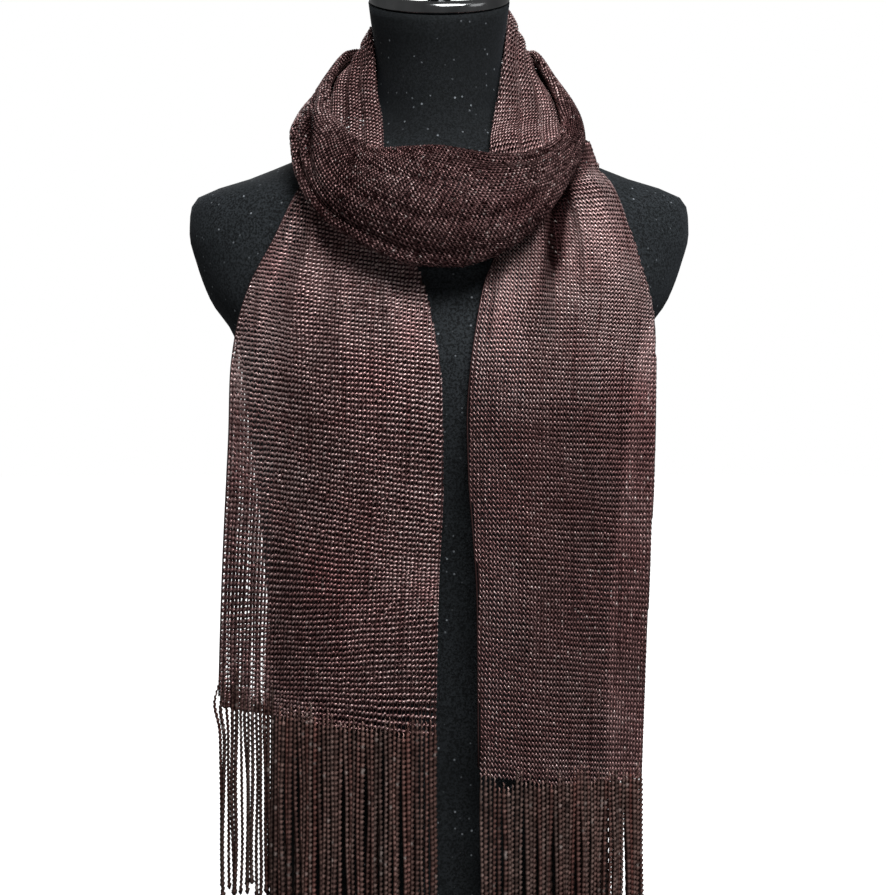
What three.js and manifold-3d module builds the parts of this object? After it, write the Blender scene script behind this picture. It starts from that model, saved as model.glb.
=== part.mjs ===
// A fringed net-knit shawl, wound once round the neck of a limbless dress form.
// Millimetres, +Z up, +X to the right of someone who faces the front, the front faces -Y.
// The origin is the middle of the form's flat underside.
//
// The shawl is one long knitted piece. Its middle hangs in front of the neck as a loop, both
// halves cross behind the neck, come forward inside the loop and hang down as two tails.
import * as THREE from 'three';
import { mergeVertices } from 'three/addons/utils/BufferGeometryUtils.js';
import Module from 'manifold-3d';

const wasm = await Module();
wasm.setup();

// Driving sizes of the cloth
const WALL = 1.6;
const SEAM = 0.4;
const RIBBON_SEAM = 0.8;
const FORM_CLEARANCE = 1.4;
const LAYER_STEP = 4.2;

// Driving sizes of the fringe
const FRINGE_LENGTH = 150;
const BACKING_HEIGHT = 4;
const BACKING_WALL = 2.4;
const STRAND_RADIUS = 0.9;
const STRAND_SIDES = 3;
const STRAND_LEVELS = 5;
const STRAND_SWAY = 1.3;
const STRAND_BEND = 2.4;
const STRANDS_PER_TAIL = 56;
// The strands' lengths differ in two overlaid waves: how much, and how fast from strand to strand
const LENGTH_WAVES = [{ size: 5, pace: 2.1 }, { size: 3, pace: 0.7 }];
const SWAY_PACE = 0.25;

// The form's cap and the knob that stands in its recess: turned profiles, radius and height
const CAP_RADIUS = 52;
const CAP_HEIGHT = 9;
const CAP_RECESS = 3;
const CAP_EDGE = 1.5;
const CAP_PROFILE = [
  [0, 0], [CAP_RADIUS - CAP_EDGE, 0], [CAP_RADIUS, CAP_EDGE], [CAP_RADIUS, 5.5],
  [CAP_RADIUS - CAP_EDGE, 8], [48, CAP_HEIGHT], [39, 8], [37, CAP_HEIGHT - CAP_RECESS],
  [0, CAP_HEIGHT - CAP_RECESS],
];
const KNOB_PROFILE = [
  [0, 0], [8.5, 0], [8.5, 6], [11.5, 9], [13, 14], [11, 20], [6, 24], [0, 25],
];

// Mesh steps
const FORM_SIDES = 40;
const CAP_SIDES = 36;
const KNOB_SIDES = 20;
const TAIL_STEPS = 15;
const FOLD_STEPS = 4;
const MERGE_DISTANCE = 1e-5;
const RIBBON_STEPS = {
  neck_strip_left: { along: 9, across: 8 },
  nape_under: { along: 12, across: 8 },
  front_loop: { along: 34, across: 11 },
  nape_over: { along: 12, across: 8 },
  neck_strip_right: { along: 9, across: 8 },
};

// Sections of the form: height, half width, depth before and behind the middle line, squareness,
// and how far the section leans forward, in degrees
const FORM_ROWS = [
  { z: 0, half: 128, front: 88, back: 78, power: 2.3, lean: 0 },
  { z: 60, half: 126, front: 88, back: 78, power: 2.3, lean: 0 },
  { z: 154, half: 125, front: 88, back: 79, power: 2.3, lean: 0 },
  { z: 228, half: 124.5, front: 88, back: 80, power: 2.3, lean: 0 },
  { z: 273, half: 125, front: 89, back: 81, power: 2.3, lean: 0 },
  { z: 333, half: 129, front: 94, back: 84, power: 2.3, lean: 0 },
  { z: 377, half: 133, front: 102, back: 87, power: 2.25, lean: 0 },
  { z: 420, half: 138, front: 111, back: 90, power: 2.2, lean: 0 },
  { z: 455, half: 142, front: 116, back: 93, power: 2.2, lean: 0 },
  { z: 480, half: 146, front: 116, back: 96, power: 2.2, lean: 0 },
  { z: 499, half: 151, front: 112, back: 98, power: 2.2, lean: 0 },
  { z: 524, half: 168, front: 103, back: 99, power: 2.2, lean: 0 },
  { z: 552, half: 179, front: 91, back: 98, power: 2.2, lean: 0 },
  { z: 574, half: 184.5, front: 81, back: 95, power: 2.2, lean: 0 },
  { z: 590, half: 184, front: 74, back: 90, power: 2.1, lean: 0 },
  { z: 602, half: 177, front: 68, back: 85, power: 2, lean: 0 },
  { z: 613, half: 144, front: 61, back: 79, power: 1.9, lean: 0 },
  { z: 624, half: 116, front: 55, back: 74, power: 1.9, lean: 0 },
  { z: 636, half: 88, front: 49, back: 69, power: 1.9, lean: 0 },
  { z: 645, half: 67, front: 45, back: 65, power: 2, lean: 0 },
  { z: 655, half: 53, front: 42, back: 61, power: 2, lean: 0 },
  { z: 668, half: 46.5, front: 41, back: 58, power: 2, lean: 1 },
  { z: 690, half: 45.5, front: 42, back: 56, power: 2, lean: 3 },
  { z: 712, half: 47.5, front: 45, back: 55, power: 2, lean: 7 },
  { z: 728, half: 50, front: 49, back: 53, power: 2, lean: 12 },
  { z: 744, half: 52, front: 52, back: 52, power: 2, lean: 17 },
];

// The two edges of each tail from its top to its hem: inner edge, outer edge
const TAIL_LEFT_ROWS = [
  { inX: -42, inZ: 611, outX: -88, outZ: 624 },
  { inX: -36, inZ: 588, outX: -102, outZ: 601 },
  { inX: -19, inZ: 559, outX: -118, outZ: 567 },
  { inX: -8, inZ: 527, outX: -136, outZ: 532 },
  { inX: -2, inZ: 499, outX: -145, outZ: 500 },
  { inX: 2, inZ: 468, outX: -149, outZ: 467 },
  { inX: 3, inZ: 430, outX: -150, outZ: 430 },
  { inX: 3, inZ: 390, outX: -152, outZ: 390 },
  { inX: 1, inZ: 350, outX: -154, outZ: 350 },
  { inX: -1, inZ: 300, outX: -156, outZ: 300 },
  { inX: -2, inZ: 224, outX: -158, outZ: 232 },
];
const TAIL_RIGHT_ROWS = [
  { inX: 38, inZ: 611, outX: 96, outZ: 630 },
  { inX: 45, inZ: 588, outX: 118, outZ: 610 },
  { inX: 41, inZ: 559, outX: 141, outZ: 573 },
  { inX: 32, inZ: 534, outX: 150, outZ: 542 },
  { inX: 26, inZ: 502, outX: 155, outZ: 508 },
  { inX: 22, inZ: 472, outX: 156, outZ: 476 },
  { inX: 20, inZ: 440, outX: 156, outZ: 442 },
  { inX: 21, inZ: 400, outX: 155, outZ: 400 },
  { inX: 24, inZ: 360, outX: 153, outZ: 360 },
  { inX: 27, inZ: 310, outX: 151, outZ: 310 },
  { inX: 28, inZ: 188, outX: 146, outZ: 188 },
];

// Soft lengthwise folds of the tails: where across (0 inner edge, 1 outer edge), how wide,
// how far out, and between which heights
const FOLDS_LEFT = [
  { at: 0.3, wide: 0.12, out: 5, low: 430, high: 640 },
  { at: 0.72, wide: 0.1, out: 6, low: 400, high: 640 },
];
const FOLDS_RIGHT = [
  { at: 0.28, wide: 0.2, out: 12, low: 450, high: 640 },
  { at: 0.86, wide: 0.13, out: 9, low: 420, high: 640 },
];

// How each tail is doubled: across (0 inner edge, 1 outer edge) and layer (0 back, 1 front)
const DOUBLING_LEFT = { backFrom: 0.78, fold: 0 };
const DOUBLING_RIGHT = { backFrom: 0.3, fold: 1 };

// Between the tails the cloth is a rolled ribbon. Each row gives its upper or neck edge (a), its
// lower or outer edge (b), how far its face swells, and where across its crease lies and how deep.
// Up the left side of the neck, from the tail's top
const STRIP_LEFT_ROWS = [
  { ax: -42, ay: -64, az: 612.3, bx: -88, by: -54, bz: 625.3, swell: 4, at: 0.5, deep: 0 },
  { ax: -40, ay: -50, az: 633, bx: -83, by: -37, bz: 640, swell: 5, at: 0.5, deep: 0 },
  { ax: -41, ay: -37, az: 653, bx: -81, by: -17, bz: 658, swell: 5, at: 0.5, deep: 0 },
  { ax: -45, ay: -22, az: 676, bx: -78, by: -1, bz: 677, swell: 5, at: 0.5, deep: 0 },
  { ax: -49, ay: -6, az: 700, bx: -73, by: 12, bz: 690, swell: 4, at: 0.5, deep: 0 },
  { ax: -53, ay: 12, az: 725, bx: -64, by: 24, bz: 694, swell: 3, at: 0.5, deep: 0 },
];

// From behind the right shoulder round the front to behind the left one
const LOOP_ROWS = [
  { ax: 69, ay: 36, az: 712, bx: 85, by: 43, bz: 668, swell: 4, at: 0.5, deep: 0 },
  { ax: 79, ay: 18, az: 696, bx: 97, by: 19, bz: 659, swell: 5, at: 0.5, deep: 0 },
  { ax: 87, ay: 0, az: 678, bx: 104, by: -7, bz: 649, swell: 6, at: 0.5, deep: 0 },
  { ax: 90, ay: -22, az: 660, bx: 104, by: -38, bz: 637, swell: 7, at: 0.5, deep: 0 },
  { ax: 87, ay: -47, az: 645, bx: 94, by: -79, bz: 611, swell: 9, at: 0.5, deep: 0 },
  { ax: 77, ay: -66, az: 634, bx: 78, by: -104, bz: 586, swell: 11, at: 0.6, deep: 1 },
  { ax: 62, ay: -78, az: 627, bx: 60, by: -117, bz: 567, swell: 13, at: 0.75, deep: 2 },
  { ax: 41, ay: -84, az: 626, bx: 37, by: -125, bz: 553, swell: 14, at: 0.85, deep: 3 },
  { ax: 19, ay: -87, az: 629, bx: 12, by: -128, bz: 546, swell: 15, at: 0.88, deep: 4 },
  { ax: -2, ay: -88, az: 632, bx: -17, by: -128, bz: 547, swell: 15, at: 0.88, deep: 4 },
  { ax: -23, ay: -87, az: 631, bx: -48, by: -121, bz: 559, swell: 14, at: 0.87, deep: 5 },
  { ax: -42, ay: -82, az: 630, bx: -76, by: -108, bz: 576, swell: 12, at: 0.85, deep: 6 },
  { ax: -57, ay: -72, az: 638, bx: -95, by: -86, bz: 598, swell: 10, at: 0.8, deep: 7 },
  { ax: -70, ay: -56, az: 650, bx: -104, by: -59, bz: 620, swell: 9, at: 0.62, deep: 7 },
  { ax: -80, ay: -36, az: 664, bx: -107, by: -33, bz: 643, swell: 7, at: 0.4, deep: 5 },
  { ax: -80, ay: -13, az: 682, bx: -106, by: -8, bz: 651, swell: 5, at: 0.3, deep: 2 },
  { ax: -75, ay: 12, az: 700, bx: -97, by: 17, bz: 659, swell: 4, at: 0.3, deep: 0 },
  { ax: -66, ay: 34, az: 712, bx: -84, by: 43, bz: 666, swell: 4, at: 0.3, deep: 0 },
];

// Down the right side of the neck, to the tail's top
const STRIP_RIGHT_ROWS = [
  { ax: 53, ay: 10, az: 735, bx: 60, by: 20, bz: 698, swell: 3, at: 0.5, deep: 0 },
  { ax: 49, ay: -7, az: 706, bx: 72, by: 15, bz: 690, swell: 4, at: 0.5, deep: 0 },
  { ax: 44, ay: -22, az: 678, bx: 84, by: 11, bz: 672, swell: 5, at: 0.5, deep: 0 },
  { ax: 39, ay: -37, az: 653, bx: 91, by: -3, bz: 656, swell: 5, at: 0.5, deep: 0 },
  { ax: 37, ay: -54, az: 633, bx: 91, by: -27, bz: 642, swell: 5, at: 0.5, deep: 0 },
  { ax: 38, ay: -66, az: 612.2, bx: 96, by: -38, bz: 631.2, swell: 4, at: 0.5, deep: 0 },
];

// Behind the neck, where the two halves cross: angle from the back of the neck (positive to the
// right), height of both edges, and how far each stands off the neck
const NAPE_UNDER_ROWS = [
  { turn: -54, topZ: 731, topOff: 4, lowZ: 686, lowOff: 9 },
  { turn: -26, topZ: 727, topOff: 4, lowZ: 680, lowOff: 6 },
  { turn: 2, topZ: 716, topOff: 4, lowZ: 668, lowOff: 7 },
  { turn: 28, topZ: 702, topOff: 7, lowZ: 655, lowOff: 14 },
  { turn: 48, topZ: 704, topOff: 15, lowZ: 656, lowOff: 25 },
];
const NAPE_OVER_ROWS = [
  { turn: -48, topZ: 715, topOff: 17, lowZ: 664, lowOff: 27 },
  { turn: -26, topZ: 719, topOff: 14, lowZ: 670, lowOff: 21 },
  { turn: 0, topZ: 729, topOff: 12, lowZ: 686, lowOff: 17 },
  { turn: 26, topZ: 744, topOff: 8, lowZ: 708, lowOff: 11 },
  { turn: 54, topZ: 745, topOff: 5, lowZ: 702, lowOff: 8 },
];
const NAPE_SWELL = 2.6;

const RADIANS = Math.PI / 180;
const mix = (a, b, t) => a + (b - a) * t;

// A smooth curve through (xs, ys) that doesn't overshoot; xs rise
function curveThrough(xs, ys) {
  const last = xs.length - 1;
  const slope = [];
  for (let i = 0; i < last; i += 1) {
    slope.push((ys[i + 1] - ys[i]) / (xs[i + 1] - xs[i]));
  }
  const tangent = ys.map((_, i) => {
    const before = slope[Math.max(i - 1, 0)];
    const after = slope[Math.min(i, last - 1)];
    return before * after <= 0 ? 0 : (2 * before * after) / (before + after);
  });
  return (x) => {
    const held = Math.min(Math.max(x, xs[0]), xs[last]);
    let i = 0;
    while (i < last - 1 && held > xs[i + 1]) i += 1;
    const step = xs[i + 1] - xs[i];
    const t = (held - xs[i]) / step;
    const s = 1 - t;
    return ys[i] * s * s * (1 + 2 * t) + ys[i + 1] * t * t * (3 - 2 * t)
      + step * t * s * (tangent[i] * s - tangent[i + 1] * t);
  };
}

// One curve for each column of a table, by the place of each row
function tableCurves(rows, places) {
  const curves = {};
  for (const column of Object.keys(rows[0])) {
    curves[column] = curveThrough(places, rows.map((row) => row[column]));
  }
  return curves;
}

// A closed surface from rings or edges of points: vertices as [x, y, z], faces as triangles
function toGeometry(points, faces) {
  const geometry = new THREE.BufferGeometry();
  geometry.setAttribute('position', new THREE.Float32BufferAttribute(points.flat(), 3));
  geometry.setIndex(faces.flat());
  return faceOutward(geometry);
}

function faceOutward(geometry) {
  const place = geometry.getAttribute('position');
  const index = geometry.getIndex().array;
  const [a, b, c] = [new THREE.Vector3(), new THREE.Vector3(), new THREE.Vector3()];
  let volume = 0;
  for (let i = 0; i < index.length; i += 3) {
    a.fromBufferAttribute(place, index[i]);
    b.fromBufferAttribute(place, index[i + 1]);
    c.fromBufferAttribute(place, index[i + 2]);
    volume += a.dot(b.cross(c));
  }
  if (volume < 0) {
    for (let i = 0; i < index.length; i += 3) {
      [index[i], index[i + 1]] = [index[i + 1], index[i]];
    }
  }
  geometry.computeVertexNormals();
  return geometry;
}

// A wall of even thickness round a grid of points, closed along its four edges
function wallOnGrid(grid, thickness) {
  const rows = grid.length;
  const columns = grid[0].length;
  const at = (i, j) => grid[Math.min(Math.max(i, 0), rows - 1)][Math.min(Math.max(j, 0), columns - 1)];
  const sides = [[], []];
  for (let i = 0; i < rows; i += 1) {
    for (let j = 0; j < columns; j += 1) {
      const along = at(i + 1, j).clone().sub(at(i - 1, j));
      const across = at(i, j + 1).clone().sub(at(i, j - 1));
      const normal = along.cross(across).normalize();
      sides[0].push(at(i, j).clone().addScaledVector(normal, thickness / 2).toArray());
      sides[1].push(at(i, j).clone().addScaledVector(normal, -thickness / 2).toArray());
    }
  }
  const count = rows * columns;
  const faces = [];
  for (let i = 0; i < rows - 1; i += 1) {
    for (let j = 0; j < columns - 1; j += 1) {
      const a = i * columns + j;
      const [b, c, d] = [a + 1, a + columns + 1, a + columns];
      faces.push([a, c, b], [a, d, c]);
      faces.push([count + a, count + b, count + c], [count + a, count + c, count + d]);
    }
  }
  const closeEdge = (near, far) => {
    faces.push([near, far, count + far], [near, count + far, count + near]);
  };
  for (let j = 0; j < columns - 1; j += 1) {
    closeEdge(j, j + 1);
    closeEdge((rows - 1) * columns + j + 1, (rows - 1) * columns + j);
  }
  for (let i = 0; i < rows - 1; i += 1) {
    closeEdge((i + 1) * columns, i * columns);
    closeEdge(i * columns + columns - 1, (i + 1) * columns + columns - 1);
  }
  return toGeometry([...sides[0], ...sides[1]], faces);
}

// The form: stacked rounded sections
const formCurves = tableCurves(FORM_ROWS, FORM_ROWS.map((row) => row.z));

function formSection(z) {
  const front = formCurves.front(z);
  const back = formCurves.back(z);
  return {
    half: formCurves.half(z),
    middle: (back - front) / 2,
    deep: (back + front) / 2,
    power: formCurves.power(z),
    lean: formCurves.lean(z) * RADIANS,
  };
}

// Where the form's front lies at a place, or Infinity beside the form
function formFront(x, z) {
  const section = formSection(z);
  const across = Math.abs(x) / section.half;
  if (across >= 1) return Infinity;
  return section.middle - section.deep * (1 - across ** section.power) ** (1 / section.power);
}

function formGeometry() {
  const points = [];
  const faces = [];
  for (const row of FORM_ROWS) {
    const section = formSection(row.z);
    for (let k = 0; k < FORM_SIDES; k += 1) {
      const angle = (k / FORM_SIDES) * 2 * Math.PI;
      const shape = (value) => Math.sign(value) * Math.abs(value) ** (2 / section.power);
      const y = section.deep * shape(Math.sin(angle));
      points.push([
        section.half * shape(Math.cos(angle)),
        section.middle + y * Math.cos(section.lean),
        row.z + y * Math.sin(section.lean),
      ]);
    }
  }
  const levels = FORM_ROWS.length;
  for (let i = 0; i < levels - 1; i += 1) {
    for (let k = 0; k < FORM_SIDES; k += 1) {
      const next = (k + 1) % FORM_SIDES;
      const [a, b] = [i * FORM_SIDES + k, i * FORM_SIDES + next];
      const [c, d] = [b + FORM_SIDES, a + FORM_SIDES];
      faces.push([a, b, c], [a, c, d]);
    }
  }
  for (let k = 1; k < FORM_SIDES - 1; k += 1) {
    const top = (levels - 1) * FORM_SIDES;
    faces.push([0, k + 1, k], [top, top + k, top + k + 1]);
  }
  return toGeometry(points, faces);
}

// Cap and knob: turned profiles that lean with the neck
function turned(profile, sides) {
  const outline = profile.map(([radius, height]) => new THREE.Vector2(radius, height));
  const lathe = new THREE.LatheGeometry(outline, sides);
  lathe.rotateX(Math.PI / 2);
  lathe.deleteAttribute('normal');
  lathe.deleteAttribute('uv');
  return faceOutward(mergeVertices(lathe, MERGE_DISTANCE));
}

// The ribbon's section: a swelling face whose two edges roll inward
const ROLL_ANGLE = 0.9;
const ROLL_DEPTH = 5;
const ROLL_SHARE = 0.9;
const CREASE_WIDTH = 0.1;
const SWELL_FULLNESS = 0.8;

function rolledSection(row, tangent, steps) {
  const upper = new THREE.Vector3(row.ax, row.ay, row.az);
  const down = new THREE.Vector3(row.bx, row.by, row.bz).sub(upper);
  const outward = tangent.clone().cross(down).normalize();
  const points = [];
  for (let j = 0; j <= steps; j += 1) {
    const angle = mix(-ROLL_ANGLE, Math.PI + ROLL_ANGLE, j / steps);
    const across = (1 - Math.cos(angle)) / 2;
    const lift = Math.sin(angle);
    const crease = row.deep * Math.exp(-(((across - row.at) / CREASE_WIDTH) ** 2));
    const roll = Math.min(ROLL_DEPTH, ROLL_SHARE * row.swell);
    const out = lift > 0 ? (row.swell - crease) * lift ** SWELL_FULLNESS : roll * lift;
    points.push(upper.clone().addScaledVector(down, across).addScaledVector(outward, out));
  }
  return points;
}

// A nape row's edges, from its angle and stand-off
function napeRow(row) {
  const place = (z, off) => {
    const section = formSection(z);
    const turn = row.turn * RADIANS;
    const x = (section.half + off) * Math.sin(turn);
    return [x, section.middle + (section.deep + off) * Math.cos(turn)];
  };
  const [ax, ay] = place(row.topZ, row.topOff);
  const [bx, by] = place(row.lowZ, row.lowOff);
  return { ax, ay, az: row.topZ, bx, by, bz: row.lowZ, swell: NAPE_SWELL, at: 0.5, deep: 0 };
}

// The whole ribbon, read by its length along the middle
const RIBBON_PARTS = [
  ['neck_strip_left', STRIP_LEFT_ROWS],
  ['nape_under', NAPE_UNDER_ROWS.map(napeRow)],
  ['front_loop', LOOP_ROWS],
  ['nape_over', NAPE_OVER_ROWS.map(napeRow)],
  ['neck_strip_right', STRIP_RIGHT_ROWS],
];
const ribbonRows = RIBBON_PARTS.flatMap(([, rows]) => rows);
const rowMiddle = (row) => {
  const sum = new THREE.Vector3(row.ax + row.bx, row.ay + row.by, row.az + row.bz);
  return sum.multiplyScalar(0.5);
};
const ribbonPlaces = [0];
for (let i = 1; i < ribbonRows.length; i += 1) {
  const step = rowMiddle(ribbonRows[i]).distanceTo(rowMiddle(ribbonRows[i - 1]));
  ribbonPlaces.push(ribbonPlaces[i - 1] + step);
}
const ribbonCurves = tableCurves(ribbonRows, ribbonPlaces);

function ribbonRow(place) {
  const row = {};
  for (const column of Object.keys(ribbonCurves)) row[column] = ribbonCurves[column](place);
  return row;
}

function ribbonGrid(start, end, steps) {
  const grid = [];
  for (let i = 0; i <= steps.along; i += 1) {
    const place = mix(start, end, i / steps.along);
    const tangent = rowMiddle(ribbonRow(place + 1)).sub(rowMiddle(ribbonRow(place - 1)));
    grid.push(rolledSection(ribbonRow(place), tangent, steps.across));
  }
  return grid;
}

// A tail: where its folds push it out
function foldLift(folds, across, z) {
  let lift = 0;
  for (const fold of folds) {
    const height = Math.min(Math.max((z - fold.low) / (fold.high - fold.low), 0), 1);
    const fade = height * height * (3 - 2 * height);
    lift += fold.out * fade * Math.exp(-(((across - fold.at) / fold.wide) ** 2));
  }
  return lift;
}

// The section across a tail: places from its free back edge round the fold to its free front edge
function doubledSection(doubling, backSteps, frontSteps, width) {
  const radius = LAYER_STEP / 2;
  const turn = radius / width;
  const { fold, backFrom } = doubling;
  const inset = fold === 0 ? turn : 1 - turn;
  const section = [];
  for (let j = 0; j < backSteps; j += 1) {
    section.push({ across: mix(backFrom, inset, j / backSteps), layer: 0 });
  }
  for (let j = 0; j <= FOLD_STEPS; j += 1) {
    const angle = (j / FOLD_STEPS) * Math.PI;
    const reach = Math.sin(angle) * turn * (fold === 0 ? -1 : 1);
    section.push({ across: inset + reach, layer: (1 - Math.cos(angle)) / 2 });
  }
  for (let j = 1; j <= frontSteps; j += 1) {
    section.push({ across: mix(inset, 1 - fold, j / frontSteps), layer: 1 });
  }
  return section;
}

// The cloth rests on the form's front and hangs straight down below the part that stands out most
const DRAPE_STEPS = 90;

function tailGrid(tail) {
  const curves = tableCurves(tail.rows, tail.rows.map((_, i) => i / (tail.rows.length - 1)));
  const section = doubledSection(tail.doubling, tail.backSteps, tail.frontSteps, tail.width);
  const grid = Array.from({ length: TAIL_STEPS + 1 }, () => []);
  for (const { across, layer } of section) {
    let depth = mix(tail.topY[0], tail.topY[1], across);
    for (let step = 0; step <= DRAPE_STEPS; step += 1) {
      const t = step / DRAPE_STEPS;
      const x = mix(curves.inX(t), curves.outX(t), across);
      const z = mix(curves.inZ(t), curves.outZ(t), across);
      depth = Math.min(depth, formFront(x, z) - FORM_CLEARANCE - WALL / 2);
      const row = t * TAIL_STEPS;
      if (Math.abs(row - Math.round(row)) < 1e-6) {
        const y = depth - layer * LAYER_STEP - foldLift(tail.folds, across, z);
        grid[Math.round(row)].push(new THREE.Vector3(x, y, z));
      }
    }
  }
  return grid;
}

// A fringe: a narrow backing under the hem, and strands whose roots are fused into it
function toSolid(geometry) {
  const bare = geometry.clone();
  for (const name of Object.keys(bare.attributes)) {
    if (name !== 'position') bare.deleteAttribute(name);
  }
  const merged = mergeVertices(bare, MERGE_DISTANCE);
  return new wasm.Manifold(new wasm.Mesh({
    numProp: 3,
    vertProperties: new Float32Array(merged.getAttribute('position').array),
    triVerts: new Uint32Array(merged.getIndex().array),
  }));
}

function fromSolid(solid) {
  const mesh = solid.getMesh();
  const geometry = new THREE.BufferGeometry();
  geometry.setAttribute('position', new THREE.BufferAttribute(new Float32Array(mesh.vertProperties), 3));
  geometry.setIndex(new THREE.BufferAttribute(new Uint32Array(mesh.triVerts), 1));
  return faceOutward(geometry);
}

function strandGeometry(root, length, sway) {
  const points = [];
  const faces = [];
  for (let level = 0; level < STRAND_LEVELS; level += 1) {
    const t = level / (STRAND_LEVELS - 1);
    const drift = STRAND_SWAY * t * Math.sin(sway + STRAND_BEND * t);
    for (let k = 0; k < STRAND_SIDES; k += 1) {
      const angle = (k / STRAND_SIDES) * 2 * Math.PI;
      points.push([
        root.x + drift + STRAND_RADIUS * Math.cos(angle),
        root.y + STRAND_RADIUS * Math.sin(angle),
        root.z - length * t,
      ]);
    }
  }
  for (let level = 0; level < STRAND_LEVELS - 1; level += 1) {
    for (let k = 0; k < STRAND_SIDES; k += 1) {
      const next = (k + 1) % STRAND_SIDES;
      const [a, b] = [level * STRAND_SIDES + k, level * STRAND_SIDES + next];
      const [c, d] = [b + STRAND_SIDES, a + STRAND_SIDES];
      faces.push([a, b, c], [a, c, d]);
    }
  }
  const end = (STRAND_LEVELS - 1) * STRAND_SIDES;
  faces.push([0, 2, 1], [end, end + 1, end + 2]);
  return toGeometry(points, faces);
}

function fringeGeometry(hem) {
  const lowered = (drop) => hem.map((point) => new THREE.Vector3(point.x, point.y, point.z - drop));
  const backing = wallOnGrid([lowered(SEAM), lowered(SEAM + BACKING_HEIGHT)], BACKING_WALL);
  const route = new THREE.CurvePath();
  for (let j = 0; j < hem.length - 1; j += 1) {
    route.add(new THREE.LineCurve3(hem[j], hem[j + 1]));
  }
  let solid = toSolid(backing);
  for (let k = 0; k < STRANDS_PER_TAIL; k += 1) {
    const root = route.getPointAt((k + 0.5) / STRANDS_PER_TAIL);
    root.z -= SEAM + BACKING_HEIGHT / 2;
    const uneven = LENGTH_WAVES.reduce((sum, wave) => sum + wave.size * Math.sin(k * wave.pace), 0);
    solid = solid.add(toSolid(strandGeometry(root, FRINGE_LENGTH + uneven, SWAY_PACE * k)));
  }
  return fromSolid(solid);
}

// Materials
const flock = new THREE.MeshStandardMaterial({ color: 0x101214, roughness: 0.95, metalness: 0 });
const chrome = new THREE.MeshStandardMaterial({ color: 0x9a9c9c, roughness: 0.15, metalness: 1 });
const knit = new THREE.MeshStandardMaterial({ color: 0x3b2225, roughness: 0.55, metalness: 0.4 });
const fringe = new THREE.MeshStandardMaterial({ color: 0x35201f, roughness: 0.6, metalness: 0.35 });

const part = new THREE.Group();

function addPiece(name, geometry, material) {
  const mesh = new THREE.Mesh(geometry, material);
  mesh.name = name;
  part.add(mesh);
  return mesh;
}

addPiece('dress_form', formGeometry(), flock);
const neckTop = FORM_ROWS[FORM_ROWS.length - 1];
const capPlace = new THREE.Group();
capPlace.position.set(0, (neckTop.back - neckTop.front) / 2, neckTop.z);
capPlace.rotation.x = neckTop.lean * RADIANS;
part.add(capPlace);
const cap = addPiece('neck_cap', turned(CAP_PROFILE, CAP_SIDES), chrome);
cap.position.z = SEAM;
const knob = addPiece('cap_knob', turned(KNOB_PROFILE, KNOB_SIDES), chrome);
knob.position.z = CAP_HEIGHT - CAP_RECESS + 2 * SEAM;
capPlace.add(cap, knob);

const TAILS = [
  {
    side: 'left', rows: TAIL_LEFT_ROWS, folds: FOLDS_LEFT, doubling: DOUBLING_LEFT,
    topY: [-63, -52], width: 150, backSteps: 7, frontSteps: 10,
  },
  {
    side: 'right', rows: TAIL_RIGHT_ROWS, folds: FOLDS_RIGHT, doubling: DOUBLING_RIGHT,
    topY: [-62, -38], width: 128, backSteps: 7, frontSteps: 10,
  },
];
for (const tail of TAILS) {
  const grid = tailGrid(tail);
  addPiece(`tail_${tail.side}`, wallOnGrid(grid, WALL), knit);
  addPiece(`fringe_${tail.side}`, fringeGeometry(grid[grid.length - 1]), fringe);
}

// The ribbon's nodes are its stretches between the seams, which lie midway between two tables
const ribbonEnd = ribbonPlaces[ribbonPlaces.length - 1];
let start = 0;
let rowsBefore = 0;
for (const [name, rows] of RIBBON_PARTS) {
  rowsBefore += rows.length;
  const last = rowsBefore === ribbonRows.length;
  const seam = last ? ribbonEnd : (ribbonPlaces[rowsBefore - 1] + ribbonPlaces[rowsBefore]) / 2;
  const end = last ? seam : seam - RIBBON_SEAM / 2;
  addPiece(name, wallOnGrid(ribbonGrid(start, end, RIBBON_STEPS[name]), WALL), knit);
  start = seam + RIBBON_SEAM / 2;
}

export default part;
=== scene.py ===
import math
from collections import namedtuple

import bpy
import numpy as np
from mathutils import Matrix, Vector


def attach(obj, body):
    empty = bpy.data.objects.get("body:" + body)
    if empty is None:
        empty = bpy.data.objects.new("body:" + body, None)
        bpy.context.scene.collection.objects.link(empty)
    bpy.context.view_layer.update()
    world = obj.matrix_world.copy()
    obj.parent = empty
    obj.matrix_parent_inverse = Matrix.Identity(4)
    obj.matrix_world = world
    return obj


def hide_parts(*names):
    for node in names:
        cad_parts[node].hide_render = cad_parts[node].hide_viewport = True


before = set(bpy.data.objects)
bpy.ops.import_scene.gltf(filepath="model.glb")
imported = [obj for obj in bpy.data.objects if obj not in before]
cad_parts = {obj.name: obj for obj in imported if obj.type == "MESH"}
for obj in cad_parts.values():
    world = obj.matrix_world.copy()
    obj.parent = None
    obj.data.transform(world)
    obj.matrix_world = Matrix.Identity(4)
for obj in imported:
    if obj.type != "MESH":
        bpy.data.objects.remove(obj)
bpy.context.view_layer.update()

MM = 0.001
BODY = "root"


def add_object(name, data):
    made = bpy.data.objects.new(name, data)
    bpy.context.scene.collection.objects.link(made)
    return made


def aim(made, direction):
    """Turn a camera or a light so that it looks along the direction."""
    made.rotation_mode = "QUATERNION"
    made.rotation_quaternion = Vector(direction).to_track_quat("-Z", "Y")


def smooth_mesh(name, points, faces, material):
    """A mesh from points in millimetres, smooth but for its large end faces."""
    mesh = bpy.data.meshes.new(name)
    mesh.from_pydata((np.asarray(points) * MM).tolist(), [], faces)
    mesh.polygons.foreach_set("use_smooth", [len(face) <= 4 for face in faces])
    mesh.materials.append(material)
    mesh.update()
    return add_object(name, mesh)


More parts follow.
